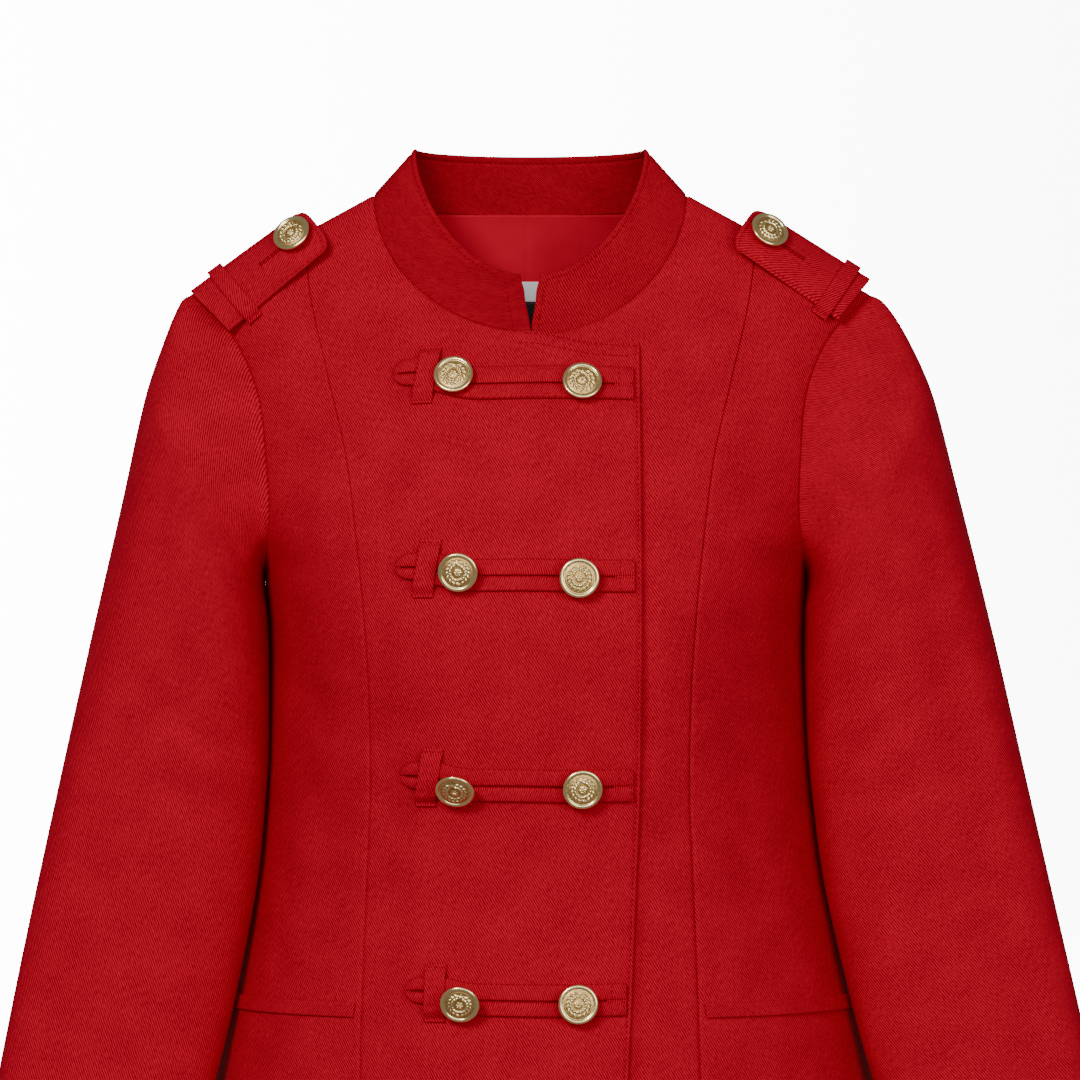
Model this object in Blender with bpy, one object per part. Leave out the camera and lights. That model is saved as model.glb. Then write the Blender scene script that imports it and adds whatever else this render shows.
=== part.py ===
"""A hollow military-style jacket in red cotton twill, filled out with no wearer.

Frame: metres, +Z up. The front faces -Y, and +X is the wearer's left, so the viewer's right.
The origin lies on the line between the two neck points, where the shoulders carry the jacket.
Every cloth piece is a wall between an outer and an inner grid of points. The trunk is one skin
through level sections, and its panels are patches of that skin, cut along the sewing lines.
"""

import math

import bmesh
import bpy
import numpy as np
from mathutils import Vector

MM = 0.001

# Thicknesses and clearances.
CLOTH = 1.5 * MM  # twill wall, with its seam allowances
COLLAR_CLOTH = 1.8 * MM  # doubled and interlined
LINING = 0.8 * MM
STRAP_CLOTH = 2.0 * MM  # doubled strap: epaulette
TAPE_CLOTH = 1.7 * MM  # doubled flat tape: frog
KEEPER_CLOTH = 1.2 * MM
LABEL_CLOTH = 0.8 * MM
SEAM_HALF = 0.2 * MM  # each piece stops this far short of its sewing line
COLLAR_SHORT = 0.6 * MM  # the collar stops a little more, as the neck seam bends sharply
LAY_ON = 0.7 * MM  # air under a piece that lies on a panel
LINING_AIR = 1.0 * MM
OVERLAP_AIR = 1.5 * MM  # air between the two crossing fronts
OVERLAP_LIFT = CLOTH + OVERLAP_AIR
RISE_START, RISE_END = -88 * MM, -60 * MM  # where the upper front rises over the lower one

# Trunk.
NECK_HALF = 94 * MM  # neck point to the centre
SHOULDER_HALF = 204 * MM  # shoulder point to the centre
SHOULDER_DROP = 60 * MM
ARMPIT = -226 * MM
HEM = -624 * MM
LEAN = 0.018  # the jacket hangs a little to its left below the shoulders
BUST_X, BUST_Z, BUST_LIFT = 88 * MM, -262 * MM, 6 * MM
BUST_WIDE, BUST_TALL = 42 * MM, 62 * MM

TRUNK_COLUMNS = ("height", "half_width", "front", "back", "side_y", "square")
TRUNK = (  # millimetres; front and back are depths from the side line; square 2 is an ellipse
    (0, 214, 20, 38, 5, 2.0),
    (-15, 211, 22, 46, 5, 2.0),
    (-32, 208, 27, 53, 5, 2.0),
    (-60, 204, 36, 62, 4, 2.0),
    (-85, 191, 52, 70, 3, 2.0),
    (-115, 184, 69, 79, 2, 2.05),
    (-150, 180, 84, 87, 0, 2.1),
    (-200, 168, 100, 93, 0, 2.15),
    (-226, 162.5, 119, 81.6, 12, 2.15),
    (-270, 162.2, 142.4, 66.7, 28.4, 2.15),
    (-335, 164.5, 139, 57.4, 32, 2.15),
    (-390, 170, 134, 53, 33, 2.15),
    (-450, 180.5, 136, 58, 34, 2.2),
    (-514, 195, 141, 66, 34, 2.2),
    (-630, 215, 149, 75, 34, 2.2),
)

# Sewing lines on the fronts: height, and distance from the centre.
LINE_COLUMNS = ("height", "x")
PRINCESS = (
    (-60, 131),
    (-108, 120),
    (-158, 108.5),
    (-204, 102.5),
    (-254, 97.5),
    (-294, 95),
    (-340, 94),
    (-390, 95.5),
    (-450, 98),
    (-514, 100),
    (-630, 104),
)
PRINCESS_TOP = 136 * MM  # where the princess line meets the shoulder seam
FRONT_EDGE = (
    (-91, 64.5),
    (-228, 65.3),
    (-350, 64),
    (-415, 61.5),
    (-476, 59.2),
    (-505, 57.8),
    (-630, 53.5),
)
UNDER_EDGE = -40 * MM  # front edge of the lower front, hidden by the upper one
NECK_FRONT_DROP = 84.7 * MM
NECK_FRONT_BEND = 1.08
NECK_BACK_DROP = 10 * MM
EDGE_TOP = -92 * MM  # corner of the upper front
EDGE_RISE = 4 * MM  # and how much higher its top edge is at the slit
UNDER_TOP = -92 * MM

# Armhole, as an oval on the trunk's skin.
ARMHOLE_FRONT = math.radians(28)
ARMHOLE_BACK = math.radians(27)

# Grid counts.
SIDE_ROWS = 14
ARM_ROWS = 10
EDGE_COLUMNS, NECK_COLUMNS, YOKE_COLUMNS, SHOULDER_COLUMNS = 4, 6, 2, 4
BACK_NECK_COLUMNS, BACK_CELLS_A_COLUMN = 5, 2
TOP_REACH = 3  # how fast the rows take the shape of a panel's top edge on the way up
BACK_ROWS = (-262 * MM, -42 * MM)  # centre back heights of the rows that meet the armhole's ends
SLEEVE_STEPS = (0, 0.03, 0.075, 0.13, 0.19, 0.25, 0.31, 0.37, 0.43, 0.49, 0.55, 0.61, 0.67)
SLEEVE_STEPS += (0.73, 0.79, 0.85, 0.9, 0.95, 1)

# Sleeve rings, each from its outermost to its innermost point, in millimetres.
SLEEVE_COLUMNS = (
    "along", "outer_x", "outer_z", "inner_x", "inner_z", "depth", "mid_y", "left_more"
)
SLEEVE = (  # left_more is how much further out the left sleeve stands
    (0.00, 204, -60, 160, -226, 47, 0, 0),
    (0.03, 211.5, -63, 161, -229, 48, 0, 3),
    (0.08, 218, -75, 161, -233, 50, 0, 6.5),
    (0.15, 225, -98, 161, -241, 53, 0, 8.5),
    (0.25, 235, -135, 160.5, -254, 54, 0, 9),
    (0.35, 245.5, -180, 160, -275, 53, 0, 9),
    (0.50, 267, -268, 160.5, -320, 47, -2, 7.5),
    (0.65, 288, -357, 166.5, -392, 38, -7, 5),
    (0.80, 311.5, -460, 185, -487, 30, -14, 3),
    (1.00, 348, -633, 237, -660, 24, -24, 2),
)
CAP_END = 0.22  # by here the armhole's own outline has faded out of the sleeve
UNDERARM_HOLD = 18  # the higher, the less of the sleeve's start goes straight down
SLEEVE_SQUARE = 2.2
SLEEVE_TROUGH = 3 * MM  # one long soft fold down the front of each sleeve
TROUGH_AT, TROUGH_WIDE = math.radians(62), math.radians(16)
TROUGH_START, TROUGH_FULL = 0.15, 0.45  # shares of the sleeve's length

# Collar.
COLLAR_TOP_HALF = 69 * MM
COLLAR_TOP_Y, COLLAR_TOP_FRONT, COLLAR_TOP_BACK = 4 * MM, -34 * MM, 40 * MM
COLLAR_TIP, COLLAR_FRONT_TOP, COLLAR_BACK_TOP = 28 * MM, -49 * MM, 25 * MM
COLLAR_BEND = 1.2
COLLAR_ROWS = 3
SLIT_MID, SLIT_TOP = 3.3 * MM, 5.6 * MM  # half openings
SLIT_MID_AT, SLIT_FLARE_AT = 0.7, 2 / 3  # shares of the collar's height

# Frogs, in millimetres. Heights are those of the slit between the two runs of tape.
FROG_COLUMNS = ("tip_x", "tip_z", "slit_z", "end_x", "keeper_top_x", "keeper_low_x")
FROGS = (
    (-80, -110.3, -117.2, 60.5, -57.5, -63.5),
    (-77.5, -223.8, -229.3, 60.5, -57.0, -62.0),
    (-74.5, -344.5, -350.4, 59.2, -55.5, -60.0),
    (-71.5, -471.0, -476.4, 55.5, -54.0, -55.0),
)
TAPE_WIDE = 9.2 * MM
TAPE_SLIT = 1.2 * MM
TIP_STEPS = (0, 0.45, 1)  # shares of the tip's length
TAPE_STEPS = 10
TAPE_START_X, TAPE_LAST_X = -56 * MM, 46 * MM  # the tape's evenly spaced columns
TIP_POWER, TIP_BLUNT = 0.6, 0.12  # how round the tip is, and the share of width at its end
SLIT_CLOSED = 2  # columns at each end that the slit stops short of
KEEPER_PARTS = (-1, -0.8, -0.68, -0.55, -0.3, 0, 0.3, 0.55, 0.68, 0.8, 1)  # low end to top
KEEPER_FLAT, KEEPER_DOWN = 0.6, 0.9  # half-length shares where it leaves the tape and lies down
TIP_LONG = 9 * MM
FROG_LEVEL_X = -30 * MM  # from here to the edge the tape is level
KEEPER_WIDE = 12 * MM
KEEPER_TALL = 34 * MM

# Buttons, each x, z and tilt: how far the face looks down, in degrees.
BUTTONS_INNER = ((30.2, -118.3, 3), (28.2, -231.6, 16), (29.8, -350.6, 4), (27.6, -478, 6))
BUTTONS_OUTER = ((-44.2, -114.4, 3), (-40.4, -228.2, 26), (-40.8, -350, 32), (-38.6, -477.5, 30))
BUTTON_RADIUS = 11.7 * MM
BUTTON_STAND = 2.6 * MM
SHANK_AIR = 0.3 * MM  # between the shank and what it stands on
SHANK_RADIUS = 2.0 * MM
BUTTON_SIDES = 16

# Epaulettes: a stiff strap, bowed across, whose lower edge lies on the front of the shoulder.
EPAULETTE_COLUMNS = (
    "side", "free_x", "free_z", "sewn_x", "sewn_z", "stand", "free_tilt", "sewn_tilt", "loop_at"
)
EPAULETTES = (  # stand is off the shoulder; tilt, in degrees, is how far the lower edge looks up
    (-1, -117, -31, -180, -83.5, 8.3, 14, 0, 64),
    (1, 118.5, -31, 184, -76.5, 6.3, 15, 6, 68),
)
EPAULETTE_WIDE = 39 * MM
EPAULETTE_BOW = 40.6 * MM  # radius across
EPAULETTE_ROUND, EPAULETTE_FULL = 9 * MM, 0.92  # the free end's rounding
EPAULETTE_LONG_STEPS = (0, 0.06, 0.15, 0.28, 0.42, 0.56, 0.7, 0.85, 1)  # shares along
EPAULETTE_WIDE_STEPS = (0, 0.08, 0.2, 0.35, 0.5, 0.65, 0.8, 0.92, 1)  # shares across
LOOP_STEPS = (0, 0.06, 0.12, 0.2, 0.32, 0.44, 0.56, 0.68, 0.8, 0.91, 0.955, 1)
LOOP_UP, LOOP_DOWN = 0.12, 0.92  # shares across where it is up on the strap and leaves it
EPAULETTE_SEAM = (1 * MM, -6 * MM)  # its sewn end is cut short by these, following the armhole
EPAULETTE_BUTTON = (15 * MM, 19.5 * MM)  # from the free end and from the lower edge
LOOP_WIDE = 10 * MM
LOOP_LOW, LOOP_HIGH = -4.5 * MM, 44 * MM

# Welts.
WELT_LOW, WELT_TALL = -487 * MM, 8.5 * MM
WELT_FROM_PRINCESS = 4 * MM
WELT_END = math.radians(80)
WELT_CLOTH = 1.3 * MM
WELT_ROWS, WELT_COLUMNS = 3, 9

# What shows inside the neck.
LINING_DEPTH = 88 * MM
LINING_REACH = 78 * MM
LINING_UNDER_SEAM = 4 * MM
INSIDE_ROWS = 5
LABEL_TOP, LABEL_TALL, LABEL_HALF = -49 * MM, 12 * MM, 26 * MM
TAB_TALL, TAB_HALF = 34 * MM, 14 * MM
TAB_AIR = 0.5 * MM

TWILL_RED = (0.402, 0.008, 0.018, 1)
LINING_RED = (0.32, 0.008, 0.016, 1)
BRASS_GOLD = (0.72, 0.5, 0.2, 1)
LABEL_WHITE = (0.85, 0.85, 0.85, 1)
TAB_BLACK = (0.01, 0.01, 0.012, 1)


# ------------------------------------------------------------------ curves through tables


def smooth_line(places, values, at):
    """Monotone cubic through the given values, read at any place. It never overshoots them."""
    places, values, at = (np.asarray(given, float) for given in (places, values, at))
    order = np.argsort(places)
    places, values = places[order], values[order]
    step = np.diff(places)
    slope = np.diff(values) / step
    tangent = np.zeros(len(values))
    tangent[0], tangent[-1] = slope[0], slope[-1]
    same_way = slope[:-1] * slope[1:] > 0
    wide = step[:-1] + step[1:]
    first, second = slope[:-1][same_way], slope[1:][same_way]
    near, far = (step[1:] + wide)[same_way], (step[:-1] + wide)[same_way]
    tangent[1:-1][same_way] = (near + far) / (near / first + far / second)
    at = np.clip(at, places[0], places[-1])
    cell = np.clip(np.searchsorted(places, at) - 1, 0, len(step) - 1)
    part = (at - places[cell]) / step[cell]
    rest = 1 - part
    return (
        values[cell] * (1 + 2 * part) * rest**2
        + values[cell + 1] * (1 + 2 * rest) * part**2
        + step[cell] * (tangent[cell] * part * rest**2 - tangent[cell + 1] * rest * part**2)
    )


def column(table, names, name, at, scale=MM):
    """One named column of a table, read smoothly along the table's first column."""
    rows = np.asarray(table, float)
    first = rows[:, 0] * (MM if names[0] == "height" else 1)
    return smooth_line(first, rows[:, names.index(name)] * scale, at)


def ease(part):
    """0 to 1 with level ends."""
    part = np.clip(part, 0, 1)
    return part * part * (3 - 2 * part)


def power(value, exponent):
    return np.sign(value) * np.abs(value) ** exponent


# ------------------------------------------------------------------ the trunk's skin


def half_width(height):
    shoulder = NECK_HALF - height * (SHOULDER_HALF - NECK_HALF) / SHOULDER_DROP
    side = column(TRUNK, TRUNK_COLUMNS, "half_width", height)
    return np.minimum(shoulder, side)


def lean(height):
    return LEAN * np.maximum(0, -height - SHOULDER_DROP)


def trunk(turn, height):
    """The trunk's outside: turn 0 is the centre front, +90 degrees the left side seam."""
    turn, height = np.broadcast_arrays(np.asarray(turn, float), np.asarray(height, float))
    square = column(TRUNK, TRUNK_COLUMNS, "square", height, scale=1)
    front = column(TRUNK, TRUNK_COLUMNS, "front", height)
    back = column(TRUNK, TRUNK_COLUMNS, "back", height)
    depth = np.where(np.cos(turn) > 0, front, back)
    x = half_width(height) * power(np.sin(turn), 2 / square) + lean(height)
    y = column(TRUNK, TRUNK_COLUMNS, "side_y", height) - depth * power(np.cos(turn), 2 / square)
    bust = ((np.abs(x) - BUST_X) / BUST_WIDE) ** 2 + ((height - BUST_Z) / BUST_TALL) ** 2
    y = y - np.where(np.cos(turn) > 0, BUST_LIFT * np.exp(-bust), 0)
    return np.stack([x, y, height], axis=-1)


def turn_at(x, height):
    """The turn at which the front of the trunk has this x."""
    square = column(TRUNK, TRUNK_COLUMNS, "square", height, scale=1)
    part = np.clip((x - lean(height)) / half_width(height), -1, 1)
    return np.arcsin(power(part, square / 2))


def raised(skin, first, second, lift):
    """Points of a skin moved out along its normal."""
    turn_step, other_step = 2e-4, 2e-5
    along = skin(first + turn_step, second) - skin(first - turn_step, second)
    up = skin(first, second + other_step) - skin(first, second - other_step)
    normal = np.cross(along, up)
    normal /= np.linalg.norm(normal, axis=-1, keepdims=True)
    return skin(first, second) + normal * np.asarray(lift)[..., None]


def front_lift(x):
    """How far the upper front stands off the trunk's skin where it crosses the lower one."""
    return OVERLAP_LIFT * ease((x - RISE_START) / (RISE_END - RISE_START))


# ------------------------------------------------------------------ solids


def add_object(name, mesh, material):
    for face in mesh.faces:
        face.smooth = True
    data = bpy.data.meshes.new(name)
    mesh.to_mesh(data)
    mesh.free()
    data.materials.append(material)
    data.set_sharp_from_angle(angle=math.radians(40))
    piece = bpy.data.objects.new(name, data)
    jacket.objects.link(piece)
    return piece


def shell(name, outer, inner, material, ring=False, keep=None):
    """A closed wall between two grids of points; keep says which cells are cloth."""
    rows, columns = outer.shape[:2]
    cells = columns if ring else columns - 1
    if keep is None:
        keep = np.ones((rows - 1, cells), bool)
    mesh = bmesh.new()
    corners = {}

    def corner(side, row, place):
        key = (side, row, place % columns)
        if key not in corners:
            corners[key] = mesh.verts.new((outer, inner)[side][row, place % columns])
        return corners[key]

    def is_cloth(row, place):
        if ring:
            place %= cells
        return 0 <= row < rows - 1 and 0 <= place < cells and keep[row, place]

    for row, place in zip(*(found.tolist() for found in np.nonzero(keep))):
        around = [(row, place), (row, place + 1), (row + 1, place + 1), (row + 1, place)]
        mesh.faces.new([corner(0, *at) for at in around])
        mesh.faces.new([corner(1, *at) for at in reversed(around)])
        beside = [(row - 1, place), (row, place + 1), (row + 1, place), (row, place - 1)]
        for index, other in enumerate(beside):
            if not is_cloth(*other):
                start, end = around[index], around[(index + 1) % 4]
                rim = [corner(0, *end), corner(0, *start), corner(1, *start), corner(1, *end)]
                mesh.faces.new(rim)
    bmesh.ops.recalc_face_normals(mesh, faces=mesh.faces)
    return add_object(name, mesh, material)


def pull_in(points, sides, by=SEAM_HALF):
    """Moves the named edges of a grid back from their sewing lines."""
    points = points.copy()
    edges = {"low": (0, 1, 0), "top": (-1, -2, 0), "start": (0, 1, 1), "end": (-1, -2, 1)}
    for side in sides:
        edge, next_in, axis = edges[side]
        grid = points if axis == 0 else points.swapaxes(0, 1)
        inward = grid[next_in] - grid[edge]
        inward /= np.linalg.norm(inward, axis=-1, keepdims=True)
        grid[edge] = grid[edge] + inward * by
    return points


# ------------------------------------------------------------------ sewing lines


def armhole(side, angle):
    """Turn and height on the armhole: angle 0 at the shoulder point, pi at the armpit."""
    middle = (ARMPIT - SHOULDER_DROP) / 2
    tall = (-SHOULDER_DROP - ARMPIT) / 2
    open_by = np.where(np.sin(angle) >= 0, ARMHOLE_FRONT, ARMHOLE_BACK)
    turn = math.pi / 2 - open_by * np.sin(angle)
    return side * turn, middle + tall * np.cos(angle)


def row_heights(top, low=HEM):
    """Heights up a line that ends at the top: level with the side seam below the armpit."""
    below = np.linspace(low, ARMPIT, SIDE_ROWS + 1)
    above = np.linspace(ARMPIT, top, ARM_ROWS + 1)
    return np.concatenate([below, above[1:]])


def side_line(side, back=False):
    below = np.linspace(HEM, ARMPIT, SIDE_ROWS + 1)
    angle = np.linspace(math.pi, 0, ARM_ROWS + 1)[1:]
    turn, height = armhole(side, -angle if back else angle)
    return np.concatenate([np.full(SIDE_ROWS + 1, side * math.pi / 2), turn]), np.concatenate(
        [below, height]
    )


def princess_line(side):
    top = -(PRINCESS_TOP - NECK_HALF) * SHOULDER_DROP / (SHOULDER_HALF - NECK_HALF)
    height = row_heights(top)
    table = PRINCESS + ((top / MM, PRINCESS_TOP / MM),)
    x = column(table, LINE_COLUMNS, "x", height)
    turn = turn_at(side * x + 0 * height, height)
    turn[-1] = side * math.pi / 2
    return turn, height


def neckline(angle):
    """Turn and height on the neck seam: angle 0 at the centre front, pi at the centre back."""
    angle = np.asarray(angle, float)
    x = NECK_HALF * np.sin(angle)
    dip = np.abs(np.cos(angle))
    is_front = np.cos(angle) > 0
    height = np.where(is_front, -NECK_FRONT_DROP * dip**NECK_FRONT_BEND, -NECK_BACK_DROP * dip)
    turn = turn_at(x + lean(height), height)
    turn = np.where(is_front, turn, power(x, 0) * math.pi - turn)
    return turn, height


def shoulder_seam(side, start_x, end_x, count):
    x = np.linspace(start_x, end_x, count + 1)
    height = -(x - NECK_HALF) * SHOULDER_DROP / (SHOULDER_HALF - NECK_HALF)
    return np.full(count + 1, side * math.pi / 2), height


def join(*lines):
    """Lines that share their ends, as one."""
    turns = [lines[0][0]] + [line[0][1:] for line in lines[1:]]
    heights = [lines[0][1]] + [line[1][1:] for line in lines[1:]]
    return np.concatenate(turns), np.concatenate(heights)


def patch(low, top, start, end):
    """Both coordinates over a panel whose four edges are the given lines, the second a height."""
    across = ((low[0] - low[0][0]) / (low[0][-1] - low[0][0]))[None, :]
    start_up, end_up = ((line[1] - line[1][0]) / (line[1][-1] - line[1][0]) for line in (start, end))
    up = start_up[:, None] * (1 - across) + end_up[:, None] * across
    grids = []
    for part, shape in enumerate((up, up**TOP_REACH)):
        edge_low, edge_top = low[part][None, :], top[part][None, :]
        edge_start, edge_end = start[part][:, None], end[part][:, None]
        ruled = (1 - shape) * edge_low + shape * edge_top + (1 - across) * edge_start + across * edge_end
        ruled -= (1 - shape) * (1 - across) * low[part][0] + (1 - shape) * across * low[part][-1]
        ruled -= shape * (1 - across) * top[part][0] + shape * across * top[part][-1]
        grids.append(ruled)
    return grids


def hem_line(start_turn, end_turn, fractions):
    turn = start_turn + (end_turn - start_turn) * fractions
    return turn, np.full(len(fractions), HEM)


def fractions_along(line):
    """How far each point of a line lies along it, from 0 to 1, in real length."""
    points = trunk(*line)
    length = np.concatenate([[0], np.cumsum(np.linalg.norm(np.diff(points, axis=0), axis=1))])
    return length / length[-1]


# ------------------------------------------------------------------ panels


def panel(name, turn, height, lift, sides, thickness=CLOTH):
    outer = raised(trunk, turn, height, lift)
    inner = raised(trunk, turn, height, lift - thickness)
    shell(name, pull_in(outer, sides), pull_in(inner, sides), twill)


def front_panel(name, side, edge_top, crosses):
    """A centre front, from its front edge to the princess line, laid out in x and height."""
    height = row_heights(edge_top)
    if crosses:
        x = column(FRONT_EDGE, LINE_COLUMNS, "x", height)
    else:
        x = np.full(len(height), UNDER_EDGE)
    edge = (x, height)
    princess_turn, princess_height = princess_line(side)
    princess = (trunk(princess_turn, princess_height)[:, 0], princess_height)
    # The top edge runs level from the front edge to the slit, then up the neck seam.
    plain = (
        np.linspace(x[-1], 0, EDGE_COLUMNS + 1),
        np.linspace(edge_top, edge_top + EDGE_RISE, EDGE_COLUMNS + 1),
    )
    seam_height = neckline(neck_angles)[1]
    plain[1][-1] = seam_height[0]
    seam = (side * NECK_HALF * np.sin(neck_angles), seam_height)
    yoke_height = shoulder_seam(side, NECK_HALF, PRINCESS_TOP, YOKE_COLUMNS)[1]
    yoke = (side * np.linspace(NECK_HALF, PRINCESS_TOP, YOKE_COLUMNS + 1), yoke_height)
    top = join(plain, seam, yoke)
    share = np.abs(top[0] - top[0][0])
    share = share / share[-1]
    low = (x[0] + (princess[0][0] - x[0]) * share, np.full(len(share), HEM))
    x, height = patch(low, top, edge, princess)
    turn = turn_at(x, height)
    panel(name, turn, height, front_lift(x) if crosses else 0 * x, ("top", "end"))


def side_front_panel(name, side):
    princess, seam = princess_line(side), side_line(side)
    top = shoulder_seam(side, PRINCESS_TOP, SHOULDER_HALF, SHOULDER_COLUMNS)
    low = hem_line(princess[0][0], seam[0][0], fractions_along(top))
    turn, height = patch(low, top, princess, seam)
    panel(name, turn, height, np.zeros_like(turn), ("top", "start", "end"))


def back_panel(name, side):
    """Its rows run from the centre seam to the side seam, the armhole and the shoulder."""
    outer_shoulder = shoulder_seam(side, SHOULDER_HALF, PRINCESS_TOP, SHOULDER_COLUMNS)
    yoke = shoulder_seam(side, PRINCESS_TOP, NECK_HALF, YOKE_COLUMNS)
    ends = join(side_line(side, back=True), outer_shoulder, yoke)
    low, high = BACK_ROWS
    below = np.linspace(HEM, low, SIDE_ROWS + 1)
    beside_arm = np.linspace(low, high, ARM_ROWS + 1)[1:]
    above = np.linspace(high, -NECK_BACK_DROP, SHOULDER_COLUMNS + YOKE_COLUMNS + 1)[1:]
    middle_height = np.concatenate([below, beside_arm, above])
    starts = (np.full(len(middle_height), side * math.pi), middle_height)
    neck_turn, neck_height = neckline(back_neck_angles[::-1])
    neck_at = np.linspace(0, 1, BACK_NECK_COLUMNS + 1)
    part = np.linspace(0, 1, BACK_NECK_COLUMNS * BACK_CELLS_A_COLUMN + 1)
    near_neck = ease((middle_height - high) / (-NECK_BACK_DROP - high))[:, None]
    grids = []
    for start, end, neck in zip(starts, ends, (side * neck_turn, neck_height)):
        ruled = start[:, None] + (end - start)[:, None] * part
        grids.append(ruled + near_neck * (np.interp(part, neck_at, neck) - ruled[-1]))
    turn, height = grids
    panel(name, turn, height, np.zeros_like(turn), ("top", "start", "end"))


# ------------------------------------------------------------------ sleeves


def sleeve_skin(side):
    """The outside of a sleeve as a function of the angle round it and the place along it."""

    def outer_x(along):
        return sleeve_column("outer_x", along) + max(side, 0) * sleeve_column("left_more", along)

    def centre(along):
        x = (outer_x(along) + sleeve_column("inner_x", along)) / 2
        z = (sleeve_column("outer_z", along) + sleeve_column("inner_z", along)) / 2
        return np.stack([x, 0 * x, z], axis=-1)

    def skin(angle, along):
        angle, along = np.broadcast_arrays(np.asarray(angle, float), np.asarray(along, float))
        middle = centre(along)
        reach_x = (outer_x(along) - sleeve_column("inner_x", along)) / 2
        reach_z = (sleeve_column("outer_z", along) - sleeve_column("inner_z", along)) / 2
        out = power(np.cos(angle), 2 / SLEEVE_SQUARE)
        forward = power(np.sin(angle), 2 / SLEEVE_SQUARE)
        trough = np.exp(-(((angle - TROUGH_AT) / TROUGH_WIDE) ** 2))
        trough = trough * ease((along - TROUGH_START) / (TROUGH_FULL - TROUGH_START))
        forward = forward * (1 - trough * SLEEVE_TROUGH / sleeve_column("depth", along))
        y = sleeve_column("mid_y", along) - sleeve_column("depth", along) * forward
        oval = np.stack([middle[..., 0] + reach_x * out, y, middle[..., 2] + reach_z * out], -1)
        opening = trunk(*armhole(1, angle)) - np.stack(
            [lean(armhole(1, angle)[1]), 0 * angle, 0 * angle], -1
        )
        # Under the arm the sleeve starts straight down, close to the body.
        moved = middle - centre(np.zeros_like(along))
        moved[..., 0] *= 1 - ((1 - np.cos(angle)) / 2) ** UNDERARM_HOLD
        start = opening + moved
        blend = ease(along / CAP_END)[..., None]
        points = start * (1 - blend) + oval * blend
        points[..., 0] = side * points[..., 0] + lean(points[..., 2])
        return points

    return skin


def sleeve_column(name, along):
    scale = 1 if name == "along" else MM
    return column(SLEEVE, SLEEVE_COLUMNS, name, along, scale)


def sleeve(name, side):
    skin = sleeve_skin(side)
    front = np.linspace(0, math.pi, ARM_ROWS + 1)
    angle = np.concatenate([front, -front[::-1][1:-1]])[None, :]
    along = np.array(SLEEVE_STEPS)[:, None]
    # The skin is mirrored for the right sleeve, so its normal points the other way.
    outer = raised(skin, *np.broadcast_arrays(angle, along), np.zeros((1, 1)))
    inner = raised(skin, *np.broadcast_arrays(angle, along), np.full((1, 1), -side * CLOTH))
    shell(name, pull_in(outer, ["low"]), pull_in(inner, ["low"]), twill, ring=True)


# ------------------------------------------------------------------ collar and lining


def collar_seam(angle, lift):
    """The neck seam: angle 0 at the centre front, pi at the back, negative on the right."""
    side = np.where(angle < 0, -1, 1)
    turn, height = neckline(np.abs(angle))
    # On the wearer's right the collar is sewn to the upper front, so it starts further out.
    on_upper = (angle < 0) & (np.cos(angle) > 0)
    out = np.where(on_upper, front_lift(trunk(side * turn, height)[..., 0]), 0)
    return raised(trunk, side * turn, height, out + lift)


def collar_skin(angle, up):
    """The collar's outside, from the neck seam, where up is 0, to its top edge."""
    angle, up = np.broadcast_arrays(np.asarray(angle, float), np.asarray(up, float))
    turned = np.abs(angle)
    base = collar_seam(angle, 0)
    x = COLLAR_TOP_HALF * np.sin(angle)
    is_front = np.cos(turned) > 0
    dip = np.abs(np.cos(turned))
    y = np.where(is_front, COLLAR_TOP_FRONT, COLLAR_TOP_BACK) * dip
    z = np.where(
        is_front,
        COLLAR_TIP + (COLLAR_FRONT_TOP - COLLAR_TIP) * dip**COLLAR_BEND,
        COLLAR_TIP + (COLLAR_BACK_TOP - COLLAR_TIP) * dip,
    )
    top = np.stack([x, y + COLLAR_TOP_Y, z], -1)
    return base + (top - base) * up[..., None]


def collar():
    half = np.concatenate([neck_angles, back_neck_angles[1:]])
    seam_angles = np.concatenate([half, 2 * math.pi - half[::-1][1:]])
    up = np.linspace(0, 1, COLLAR_ROWS + 1)[:, None]
    flare = ease((up - SLIT_FLARE_AT) / (1 - SLIT_FLARE_AT))
    open_x = SEAM_HALF + SLIT_MID * ease(up / SLIT_MID_AT) + (SLIT_TOP - SLIT_MID) * flare
    ring_half = NECK_HALF + (COLLAR_TOP_HALF - NECK_HALF) * up
    start = np.arcsin(open_x / ring_half)
    angle = start + seam_angles[None, :] * (1 - start / math.pi)
    angle = np.where(angle > math.pi, angle - 2 * math.pi, angle)
    up = np.broadcast_to(up, angle.shape)
    outer = raised(collar_skin, angle, up, np.zeros_like(up))
    inner = raised(collar_skin, angle, up, np.full_like(up, -COLLAR_CLOTH))
    inner[0] = collar_seam(angle[0], -COLLAR_CLOTH)
    walls = [pull_in(points, ["low"], COLLAR_SHORT) for points in (outer, inner)]
    shell("collar", *walls, twill)


def inside_back(name, heights, half_reach, columns, depth_in, thickness, material):
    """A patch against the inside of the back, between two heights."""
    heights = np.asarray(heights, float)
    height = np.linspace(heights[0], heights[1], INSIDE_ROWS)[:, None]
    x = np.linspace(-half_reach, half_reach, columns)[None, :]
    height, x = np.broadcast_arrays(height, x)
    turn = math.pi - turn_at(x + lean(height), height)
    outer = raised(trunk, turn, height, -depth_in)
    inner = raised(trunk, turn, height, -depth_in - thickness)
    shell(name, outer, inner, material)


# ------------------------------------------------------------------ trims on the upper front


def on_front(x, height, lift):
    """A point of the upper front's outside, moved out by a lift."""
    return raised(trunk, turn_at(x, height), height, front_lift(x) + lift)


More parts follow.
